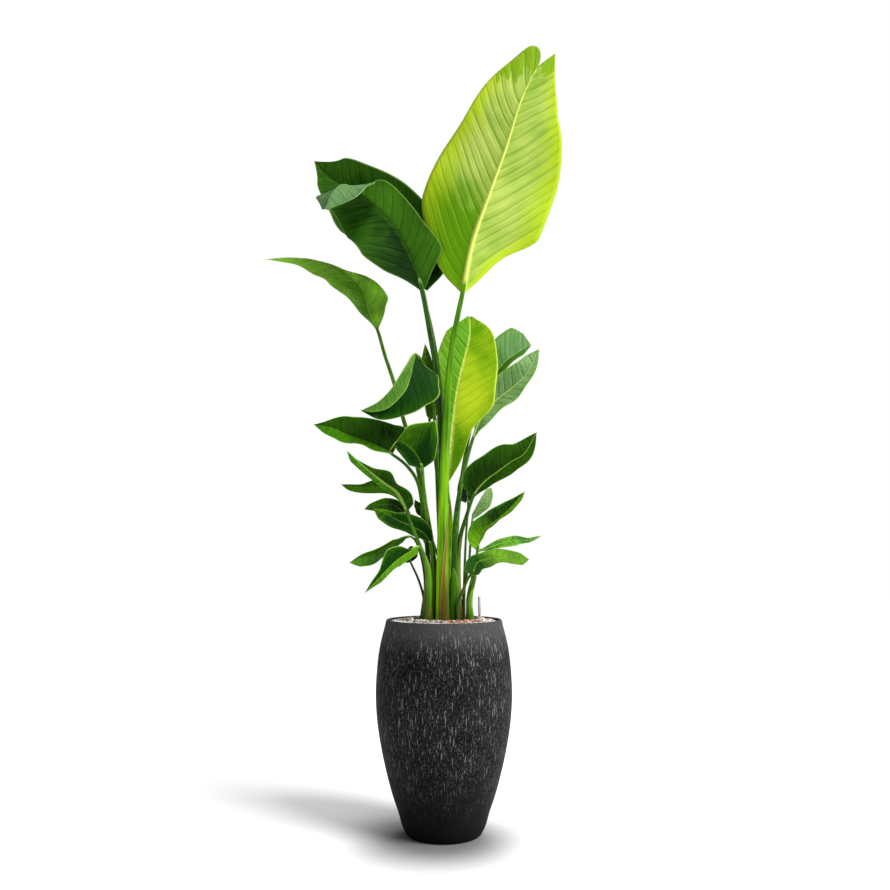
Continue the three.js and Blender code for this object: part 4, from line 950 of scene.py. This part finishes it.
# %% Growing all the leaves
# finish, tone of the left and right half (joint, middle, tip), slant, pleats, pleat depth,
# how pale the midrib is and how broad, against its own thickness
LOOKS = {
    "great_leaf": ("bright", (-1.4, 0.1, 0.2), (0.0, 0.1, 0.0), 1.1, 17, 1.5, 0.9, 1.25),
    "front_leaf": ("dark", (-0.8, -0.1, 0.3), (0.3, 0.6, 0.6), 0.8, 15, 1.0, 0.0, 0.5),
    "back_leaf": ("dark", (-0.4, -0.3, 0), (-0.3, -0.2, 0.1), 0.8, 15, 0.8, 0.3, 0.5),
    "far_left_leaf": ("soft", (-0.1, 0.3, 0.4), (0.1, 0.3, 0.4), 0.8, 15, 0.7, 0.4, 0.4),
    "cupped_left_leaf": ("mid", (-0.9, -0.8, -0.5), (-0.2, -0.1, 0), 0.8, 12, 0.6, 0.0, 0.4),
    "hidden_upright_leaf": ("mid", (0.1, 0.1, 0.2), (0, 0, 0), 0.8, 12, 0.5, 0.35, 0.5),
    "bright_middle_leaf": ("fresh", (-1.0, -0.9, -0.5), (-1.2, 0.4, -0.5), 0.9, 15, 0.3, 0.5, 1.5),
    "right_back_leaf": ("misty", (-0.6, -0.4, -0.3), (-0.7, -0.6, -0.4), 0.8, 12, 0.5, 0.35, 0.5),
    "right_upper_leaf": ("grey", (0, 0.05, 0.1), (0.1, 0.3, 0.4), 0.8, 14, 0.6, 0.6, 0.6),
    "left_level_leaf": ("deep", (0.4, 0.4, 0.4), (-0.3, -0.1, 0), 0.7, 12, 0.5, 0.15, 0.5),
    "centre_left_leaf": ("mid", (-0.7, -0.5, -0.4), (-0.6, -0.3, -0.1), 0.7, 12, 0.5, 0.1, 0.5),
    "right_dark_leaf": ("deep", (-0.1, 0.1, 0.2), (-0.1, 0.4, 0.4), 0.7, 14, 0.5, 0.95, 0.5),
    "right_shade_leaf": ("deep", (-0.4, -0.3, -0.3), (-0.4, -0.3, -0.3), 0.7, 9, 0.3, 0.35, 0.5),
    "left_diagonal_leaf": ("deep", (0.2, 0.5, 0.4), (-0.3, -0.1, 0.2), 0.7, 12, 0.4, 0.75, 1.3),
    "left_small_leaf": ("deep", (0, 0.3, 0.5), (-0.3, 0, 0.2), 0.7, 12, 0.4, 0.2, 0.5),
    "left_shade_leaf": ("deep", (-0.3, -0.3, -0.1), (-0.3, -0.1, 0.3), 0.7, 12, 0.4, 0.15, 0.5),
    "left_broad_leaf": ("mid", (-0.8, -0.7, -0.3), (-0.7, -0.5, 0.1), 0.7, 12, 0.4, 0.15, 0.5),
    "shade_bud_leaf": ("deep", (-0.2, 0, 0), (-0.2, 0, 0), 0.7, 9, 0.3, 0.35, 0.5),
    "twisted_left_leaf": ("deep", (-0.4, -0.2, 0.4), (0, 0.5, 0.6), 0.7, 9, 0.4, 0.35, 0.5),
    "lower_left_leaf": ("mid", (-0.1, 0.1, 0.1), (-0.6, -0.6, -0.3), 0.7, 10, 0.4, 0.35, 0.5),
    "low_back_leaf": ("deep", (-0.4, -0.3, -0.2), (-0.4, -0.3, -0.2), 0.7, 9, 0.3, 0.35, 0.5),
    "right_pointed_leaf": ("mid", (0.7, -0.5, -0.2), (0.5, 0.4, 0.5), 0.7, 12, 0.4, 0.35, 0.5),
    "right_small_leaf": ("grey", (0, 0.1, 0.2), (0.3, 0.5, 0.5), 0.7, 10, 0.3, 0.35, 0.5),
    "right_low_leaf": ("soft", (-0.5, -0.3, 0.1), (-0.6, -0.4, 0), 0.7, 12, 0.4, 0.35, 0.5),
    "lower_right_leaf": ("soft", (-1.6, -0.2, 0), (-1.6, 0, 0.1), 0.7, 12, 0.4, 0.15, 0.5),
}
# a longer blade gets a finer grid: length in millimetres, rows and columns
BLADE_GRIDS = ((420, (150, 44)), (250, (100, 32)), (0, (64, 24)))
SLOTS = {
    "bright": "bright_leaf", "fresh": "bright_leaf",
    "mid": "fresh_leaf", "soft": "fresh_leaf", "misty": "fresh_leaf",
    "grey": "deep_leaf", "deep": "deep_leaf", "dark": "deep_leaf",
}

for name, leaf in LEAVES.items():
    x, y = leaf["base"]
    points = [(x, y, STALK_FOOT), (x, y, STALK_COLLAR), *leaf["stalk"], *leaf["midrib"]]
    leaf["path"] = Path(points)
    leaf["joint"] = leaf["path"].lengths[leaf["path"].knots[len(leaf["stalk"]) + 2]]
    leaf["finish"], *leaf["tone"], leaf["slant"], leaf["pleats"] = LOOKS[name][:5]
    leaf["pleat_depth"], leaf["rib_light"], leaf["rib_width"] = LOOKS[name][5:]
    length = leaf["path"].whole - leaf["joint"]
    rows, columns = next(grid for longer_than, grid in BLADE_GRIDS if length > longer_than)
    blade = make_blade(leaf, rows, columns)
    stalk = make_stalk(leaf)
    wraps = [make_sheath(leaf, *sheath[1:]) for sheath in SHEATHS if sheath[0] == name]
    slot = SLOTS[leaf["finish"]]
    finished(join([blade, stalk, *wraps]), name + "_grown", slot, name)

# %% [markdown]
# ## The planter
# The real planter is a cast shell with fine upright drips and scratches over a charcoal
# skin. A circle pulled up ring by ring follows its outline, as clay is drawn up on a
# wheel. The drips are far finer than its points, so they belong to the finish.

# %% The planter's outline
POT_WALL = 10
POT_FLOOR = 16
POT_SIDES = 192
POT_OUTLINE = [
    (0, 98), (6, 108), (22, 118), (60, 130), (110, 147.5), (170, 164.5), (240, 180.5),
    (310, 192), (380, 197), (440, 195.5), (500, 190), (550, 180.5), (580, 172.5), (594, 169.5),
]
ROUNDED_FOOT = (102, 105.5, 108.5)
ROUNDED_RIM = ((0.7, 597.5), (2.4, 599.6), (5, 600), (7.6, 599.6), (9.3, 597.5))
INSIDE_HEIGHTS = (590, 575, 550, 500, 400, 250, 100, 40, POT_FLOOR)


def pot_radius(z):
    """The outline's radius at a height, on a smooth curve through its points."""
    heights = [row[0] for row in POT_OUTLINE]
    radii = [row[1] for row in POT_OUTLINE]
    path = Path([(r, 0, h) for h, r in zip(heights, radii)])
    return np.interp(z, path.points[:, 2], path.points[:, 0])


wall_heights = np.concatenate([[0, 1.5, 4, 8, 14, 22], np.arange(30, 592, 10.0), [594]])
wall_radii = pot_radius(wall_heights)
wall_radii[:3] = ROUNDED_FOOT
outline = list(zip(wall_radii, wall_heights))
outline += [(wall_radii[-1] - inset, z) for inset, z in ROUNDED_RIM]
outline += [(pot_radius(z) - POT_WALL, z) for z in INSIDE_HEIGHTS]
print("outline", len(outline), "rings")

# %% [markdown]
# Each ring of the outline is pulled up from the one before it and widened or narrowed to
# its own radius. A wall made this way is one skin, outside, over the rim and inside.

# %% Drawing up the planter
def turn_up(outline, sides, cap_start=True, cap_end=True):
    select_only()
    radius, height = outline[0]
    fill = "NGON" if cap_start else "NOTHING"
    bpy.ops.mesh.primitive_circle_add(vertices=sides, radius=radius * MM, fill_type=fill,
                                      location=(0, 0, height * MM))
    piece = bpy.context.object
    bpy.ops.object.transform_apply(location=True)
    bpy.ops.object.mode_set(mode="EDIT")
    bpy.ops.mesh.select_mode(type="EDGE")
    bpy.ops.mesh.select_all(action="SELECT")
    for next_radius, next_height in outline[1:]:
        rise = (next_height - height) * MM
        bpy.ops.mesh.extrude_edges_move(TRANSFORM_OT_translate={"value": (0, 0, rise)})
        grow = next_radius / radius
        bpy.ops.transform.resize(value=(grow, grow, 1), center_override=(0, 0, next_height * MM))
        radius, height = next_radius, next_height
    if cap_end:
        bpy.ops.mesh.edge_face_add()
    bpy.ops.mesh.select_all(action="SELECT")
    bpy.ops.mesh.normals_make_consistent(inside=False)
    bpy.ops.object.mode_set(mode="OBJECT")
    bpy.ops.object.shade_smooth()
    return piece


planter = turn_up(outline, POT_SIDES)
print("planter", len(planter.data.vertices), "points")

# %% [markdown]
# Each drip is a cell of a pattern that is narrow across and long up the wall. Long and
# short drips overlap over a faint fine grain, and a slow noise thins them out in places,
# as on a hand-raked mould. The pattern lies on the wall as if it were unrolled, with the
# join at the back, so that the drips stay upright where the wall curves in.

# %% The planter's finish
UNROLLING_RADIUS = 0.18

charcoal, t, surface = material("streaked charcoal", 0.7, gloss=0.07)
place = t.object_place()
x, y, height = t.add("ShaderNodeSeparateXYZ", {0: place}).outputs
turn = t.math("ARCTAN2", x, t.times(y, -1.0))
round_wall = t.times(turn, UNROLLING_RADIUS)
wall = t.add("ShaderNodeCombineXYZ", {0: round_wall, 2: height}).outputs[0]
cloud = t.noise(place, 6.0, 3.0, 0.6)
grain = t.noise(place, 900.0, 2.0)


def drips(across, up, amount, offset):
    drawn_out = t.place(wall, (across, across, up), offset)
    cells = t.add("ShaderNodeTexVoronoi", {"Vector": drawn_out, "Scale": 1.0, "Randomness": 1.0})
    spot = t.span(cells.outputs["Distance"], 0.12, 0.42, 1.0, 0.0)
    chosen = t.add("ShaderNodeSeparateColor", {0: cells.outputs["Color"]}).outputs[0]
    share = t.times_add(t.span(cloud, 0.3, 0.7), 0.14, t.times(chosen, 0.86))
    return t.times(spot, t.span(share, 1 - amount, 1.3 - amount))


body = t.times(t.span(height, 0.03, 0.25), t.span(height, 0.56, 0.592, 1.0, 0.45))
long = drips(420, 24, 0.36, (3.3, 1.7, 0.4))
short = drips(460, 62, 0.34, (0, 0, 0))
grit = t.times(drips(620, 150, 0.8, (7.1, 4.2, 0.9)), 0.4)
raised = t.times(t.math("MAXIMUM", t.math("MAXIMUM", long, short), grit), body)
colour = t.mix(t.span(cloud, 0.3, 0.7), (8, 8, 8), (16, 16, 16))
# Painted light: the wall is painted lighter towards the rim, where the light falls on it.
colour = t.mix(t.span(height, 0.5, 0.592, 0.0, 0.7), colour, (66, 67, 68))
colour = t.mix(t.times(raised, 0.8), colour, (146, 147, 148))
t.wire(colour, surface["Base Color"])
relief = t.times_add(grain, 0.25, raised)
t.bump(surface, relief, 0.6, 0.0012)
t.wire(t.span(raised, 0.0, 1.0, 0.66, 0.85), surface["Roughness"])
planter.data.materials.append(charcoal)
finished(planter, "planter_cast", "planter", "planter")

# %% [markdown]
# ## The potting mix and its dressing
# The mix is a plain solid with a hole for each stalk, so the CAD node stays and gets a
# dark crumbly finish, as damp bark and peat have.

# %% The mix
mix, t, surface = material("crumbly mix", 0.95)
place = t.object_place()
crumbs = t.noise(place, 260.0, 4.0, 0.7)
colour = t.mix(t.span(crumbs, 0.35, 0.65), (30, 20, 14), (84, 60, 42))
t.wire(colour, surface["Base Color"])
t.bump(surface, crumbs, 0.8, 0.003)


def coat(node, finish):
    """Gives a carried-over solid its finish."""
    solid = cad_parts[node]
    solid.data.materials.clear()
    solid.data.materials.append(finish)
    print(finish.name, "on", node)


coat("growing_medium", mix)

# %% [markdown]
# The pumice and clay on top are loose stones. One rough stone is modelled, and copies of
# it are lumped, turned and sized by seeded chance, so that no two look the same.

# %% One loose stone, many times
def loose_stones(places, sizes, squash, knobs, seed):
    """One piece of many stones: flat where squash is low, rough where knobs is high."""
    chance = np.random.default_rng(seed)
    select_only()
    bpy.ops.mesh.primitive_ico_sphere_add(subdivisions=2, radius=1)
    stone = bpy.context.object
    mesh = stone.data
    ball = np.array([v.co for v in mesh.vertices])
    faces = np.array([p.vertices for p in mesh.polygons])
    points, all_faces, tint = [], [], []
    for i, (place, size) in enumerate(zip(places, sizes)):
        lumps = 1 + knobs * (chance.random(len(ball)) - 0.5)
        stretch = np.array([1, chance.uniform(0.75, 1.0), squash * chance.uniform(0.85, 1.1)])
        a, b = chance.uniform(0, 2 * np.pi), chance.normal(0, 0.25)
        spin = np.array([[math.cos(a), -math.sin(a), 0], [math.sin(a), math.cos(a), 0], [0, 0, 1]])
        tip = np.array([[1, 0, 0], [0, math.cos(b), -math.sin(b)], [0, math.sin(b), math.cos(b)]])
        shape = (ball * lumps[:, None] * stretch * size) @ tip.T @ spin.T
        points.append(shape + place)
        all_faces.append(faces + i * len(ball))
        tint.append(np.full(len(ball), chance.random()))
    mesh.clear_geometry()
    mesh.from_pydata((np.concatenate(points) * MM).tolist(), [], np.concatenate(all_faces).tolist())
    store(mesh, "tint", np.concatenate(tint))
    bpy.ops.object.shade_smooth()
    return stone


# %% [markdown]
# The stones are laid out clear of the stalks and the gauge. A ray straight down finds the
# bed under each, so that it rests on it. The clay lies in a low heap to the right of the
# middle and is scattered thinly over the rest.

# %% Laying out the pumice and the clay
GAUGE = (107, 80)
COLLAR_RADIUS = 16.5
ABOVE_THE_BEDS = 0.63
PUMICE_REACH = 156
STONE_RADII = (3.2, 6.4)
STONE_TRIES = 9000
PUMICE_MOST = 2300
STONES_MOST = 3100
CLUMP = {"x": 6, "y": 14, "rx": 100, "ry": 88}


def clear_of_stalks(x, y, size):
    for leaf in LEAVES.values():
        if math.hypot(x - leaf["base"][0], y - leaf["base"][1]) < leaf["radius"][0] + size * 0.7:
            return False
    return math.hypot(x - GAUGE[0], y - GAUGE[1]) > COLLAR_RADIUS + size * 0.6


def heaped(x, y, wide, deep):
    """How much of a heap of this width and depth lies at a place, from 0 to 1."""
    return math.exp(-(((x - wide[0]) / wide[1]) ** 2) - (((y - deep[0]) / deep[1]) ** 2))


def solid_tree(name):
    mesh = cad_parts[name].data
    return BVHTree.FromPolygons([v.co for v in mesh.vertices], [p.vertices for p in mesh.polygons])


beds = [solid_tree(name) for name in ("growing_medium", "clay_granules", "pumice_layer")]


def bed_level(x, y):
    hits = [bed.ray_cast((x * MM, y * MM, ABOVE_THE_BEDS), (0, 0, -1))[0] for bed in beds]
    return max(hit.z / MM for hit in hits if hit is not None)


pumice_places, pumice_sizes = [], []
clay_places, clay_sizes = [], []
chance = np.random.default_rng(21)
for _ in range(STONE_TRIES):
    x, y = chance.uniform(-PUMICE_REACH, PUMICE_REACH, 2)
    size = chance.uniform(*STONE_RADII)
    from_clump = math.hypot((x - CLUMP["x"]) / CLUMP["rx"], (y - CLUMP["y"]) / CLUMP["ry"])
    if math.hypot(x, y) > PUMICE_REACH - size or not clear_of_stalks(x, y, size):
        continue
    level = bed_level(x, y) - 0.2 * size + chance.uniform(-1, 1.5)
    clay_chance = 0.85 * heaped(x, y, (42, 50), (-20, 90))
    if chance.random() < clay_chance + (0.15 if from_clump < 1 else -0.1):
        heap = 3 * heaped(x, y, (46, 36), (-20, 60))
        clay_places.append((x, y, level + heap))
        clay_sizes.append(size * 0.95)
    elif len(pumice_places) < PUMICE_MOST:
        pumice_places.append((x, y, level))
        pumice_sizes.append(size)
    if len(pumice_places) + len(clay_places) >= STONES_MOST:
        break
print("pumice", len(pumice_places), "clay", len(clay_places))

# %% [markdown]
# Pumice is a pale frothy glass and baked clay a rust-brown one with fine pores. Each
# stone has its own tint, because no two are fired or washed alike.

# %% The stones' finishes
def stone_material(name, dark, pale, pore_scale):
    made, t, surface = material(name, 0.9)
    place = t.object_place()
    tint = t.stored("tint")
    pores = t.noise(place, pore_scale, 3.0, 0.7)
    share = t.times_add(tint, 0.9, t.times(pores, 0.3), clamp=True)
    t.wire(t.mix(share, dark, pale), surface["Base Color"])
    t.bump(surface, pores, 0.6, 0.0008)
    return made


pumice = loose_stones(pumice_places, pumice_sizes, squash=0.75, knobs=0.35, seed=3)
pumice.data.materials.append(stone_material("pumice", (84, 72, 66), (222, 212, 206), 700.0))
finished(pumice, "pumice_pebbles", "pumice_layer")
clay = loose_stones(clay_places, clay_sizes, squash=0.85, knobs=0.2, seed=4)
clay.data.materials.append(stone_material("baked clay", (74, 44, 30), (188, 130, 98), 500.0))
finished(clay, "clay_balls", "clay_granules")

# %% [markdown]
# The solids under the loose stones stay as they are. They get the stones' colours, a
# little darker, so that a gap between two stones shows more stones in its shade.

# %% The beds under the stones
for node, dark, pale in (
    ("pumice_layer", (96, 86, 80), (150, 140, 132)),
    ("clay_granules", (84, 62, 50), (134, 108, 92)),
):
    coat(node, stone_material(node + " bed", dark, pale, 240.0))

# %% [markdown]
# ## The water gauge
# A white sleeve goes down into the mix. Its flared collar holds a clear tube, in which a
# red pointer shows the water level.

# %% The gauge
SOCKET_FLOOR = 582


def at_gauge(piece):
    piece.location = (GAUGE[0] * MM, GAUGE[1] * MM, 0)
    select_only(piece)
    bpy.ops.object.transform_apply(location=True)
    return piece


SLEEVE_OUTLINE = [
    (6.5, 140), (9, 140), (9, 592.4), (15.8, 592.4), (COLLAR_RADIUS, 592.9), (16.4, 593.8),
    (14.5, 595.4), (11, 597.6), (9, 599), (6.2, 599), (5.6, 598.4), (5.55, SOCKET_FLOOR),
    (3, SOCKET_FLOOR), (3, 577), (6.5, 577), (6.5, 140.01),
]
TUBE_OUTLINE = [
    (4.2, 582.4), (5.2, 582.4), (5.2, 659.5), (4.6, 661.3), (3.2, 662), (0.4, 662), (0.3, 661),
    (3, 660.6), (4, 659.6), (4.2, 658), (4.2, 582.41),
]
FLOAT_OUTLINE = [
    (1, 140.4), (5, 141), (5, 189), (1.3, 194), (1.3, 599), (3.3, 600), (3.4, 607.5), (1, 609.5),
]

sleeve = at_gauge(turn_up(SLEEVE_OUTLINE, 64, cap_start=False, cap_end=False))
white, t, surface = material("white moulding", 0.45)
place = t.object_place()
dust = t.noise(place, 160.0, 3.0, 0.6)
height = t.part(place, 2)
low = t.span(height, 0.592, 0.598, 0.7, 0.0)
colour = t.mix(t.times(t.span(dust, 0.4, 0.7), 0.25), (232, 230, 226), (196, 188, 178))
t.wire(t.mix(t.times(low, dust), colour, (170, 150, 130)), surface["Base Color"])
sleeve.data.materials.append(white)
finished(sleeve, "gauge_white_sleeve", "gauge_sleeve", "gauge_sleeve")

sight = at_gauge(turn_up(TUBE_OUTLINE, 48, cap_start=False, cap_end=False))
clear, t, surface = material("clear tube", 0.12)
place = t.object_place()
haze = t.span(t.noise(t.place(place, (300, 300, 40)), 1.0, 3.0), 0.3, 0.7)
t.wire(t.mix(haze, (202, 204, 200), (180, 184, 180)), surface["Base Color"])
window = t.span(t.part(place, 2), 0.608, 0.611, 0.3, 1.0)
t.wire(t.times(t.span(haze, 0.0, 1.0, 0.46, 0.6), window), surface["Alpha"])
t.wire(t.span(haze, 0.0, 1.0, 0.1, 0.25), surface["Roughness"])
sight.data.materials.append(clear)
finished(sight, "gauge_clear_tube", "gauge_sight_tube", "gauge_sight_tube")

pointer = at_gauge(turn_up(FLOAT_OUTLINE, 32))
red, t, surface = material("red pointer", 0.35)
place = t.object_place()
mottle = t.noise(place, 400.0, 2.0)
t.wire(t.mix(mottle, (168, 12, 10), (204, 30, 24)), surface["Base Color"])
pointer.data.materials.append(red)
finished(pointer, "gauge_red_float", "gauge_float", "gauge_float")

# %% [markdown]
# ## The studio
# The pale floor isn't part of the object. Its paper is a little darker round the foot of
# the planter, so that the contact shadow of the photograph shows on it.

# %% The floor
FLOOR_RADIUS = 14
FLOOR_BELOW = 0.0005

select_only()
bpy.ops.mesh.primitive_circle_add(vertices=96, radius=FLOOR_RADIUS, fill_type="NGON",
                                  location=(0, 0, -FLOOR_BELOW))
floor = bpy.context.object
floor.name = "studio_floor"
paper, t, surface = material("studio floor", 0.9)
place = t.object_place()
shifted = t.place(place, location=(0.02, 0.05, 0))
from_foot = t.add("ShaderNodeVectorMath", {0: shifted}, operation="LENGTH").outputs["Value"]
plain = t.mix(t.noise(place, 2.0, 2.0), (246, 246, 246), (250, 250, 250))
near = t.math("POWER", t.span(from_foot, 0.08, 0.45, 1.0, 0.0), 2.0)
t.wire(t.mix(near, plain, (112, 112, 112)), surface["Base Color"])
floor.data.materials.append(paper)
print("floor", FLOOR_RADIUS, "m in radius")

# %% [markdown]
# The photograph has one soft shadow that falls to the left, so the sun stands high on the
# right. A large soft light behind shines through the upper leaves, and two weak ones keep
# the front and the right side from going dark.

# %% The lights
def soft_light(name, location, target, size, power, shine=0.5):
    lamp = bpy.data.lights.new(name, "AREA")
    lamp.shape = "DISK"
    lamp.size = size
    lamp.energy = power
    lamp.specular_factor = shine
    light = bpy.data.objects.new(name, lamp)
    light.location = location
    direction = Vector(target) - Vector(location)
    light.rotation_euler = direction.to_track_quat("-Z", "Y").to_euler()
    bpy.context.scene.collection.objects.link(light)


soft_light("front fill", (1.6, -3.4, 2.8), (0, 0, 1.1), 2.0, 26, 0.4)
soft_light("back", (0.6, 2.8, 3.2), (0, 0, 1.5), 2.0, 64, 0.12)
soft_light("right", (2.4, 0.2, 0.9), (0, 0, 0.5), 1.4, 20, 0.6)
sun = bpy.data.lights.new("sun", "SUN")
sun.energy = 4.3
sun.specular_factor = 0.35
sun.angle = math.radians(30)
sunlight = bpy.data.objects.new("sun", sun)
sunlight.rotation_euler = Vector((-0.66, 0.46, -0.66)).to_track_quat("-Z", "Y").to_euler()
bpy.context.scene.collection.objects.link(sunlight)

world = bpy.data.worlds.new("studio")
bpy.context.scene.world = world
world.use_nodes = True
sky = Tree(world.node_tree)
sky.tree.nodes.clear()
seen = sky.add("ShaderNodeBackground", {"Color": (1, 1, 1, 1), "Strength": 1.0})
light = sky.add("ShaderNodeBackground", {"Color": (1, 1, 1, 1), "Strength": 0.3})
direct = sky.add("ShaderNodeLightPath").outputs["Is Camera Ray"]
both = sky.add("ShaderNodeMixShader", {0: direct, 1: light.outputs[0], 2: seen.outputs[0]})
sky.add("ShaderNodeOutputWorld", {"Surface": both.outputs[0]})
bpy.context.scene.view_settings.view_transform = "Standard"
print("studio set")
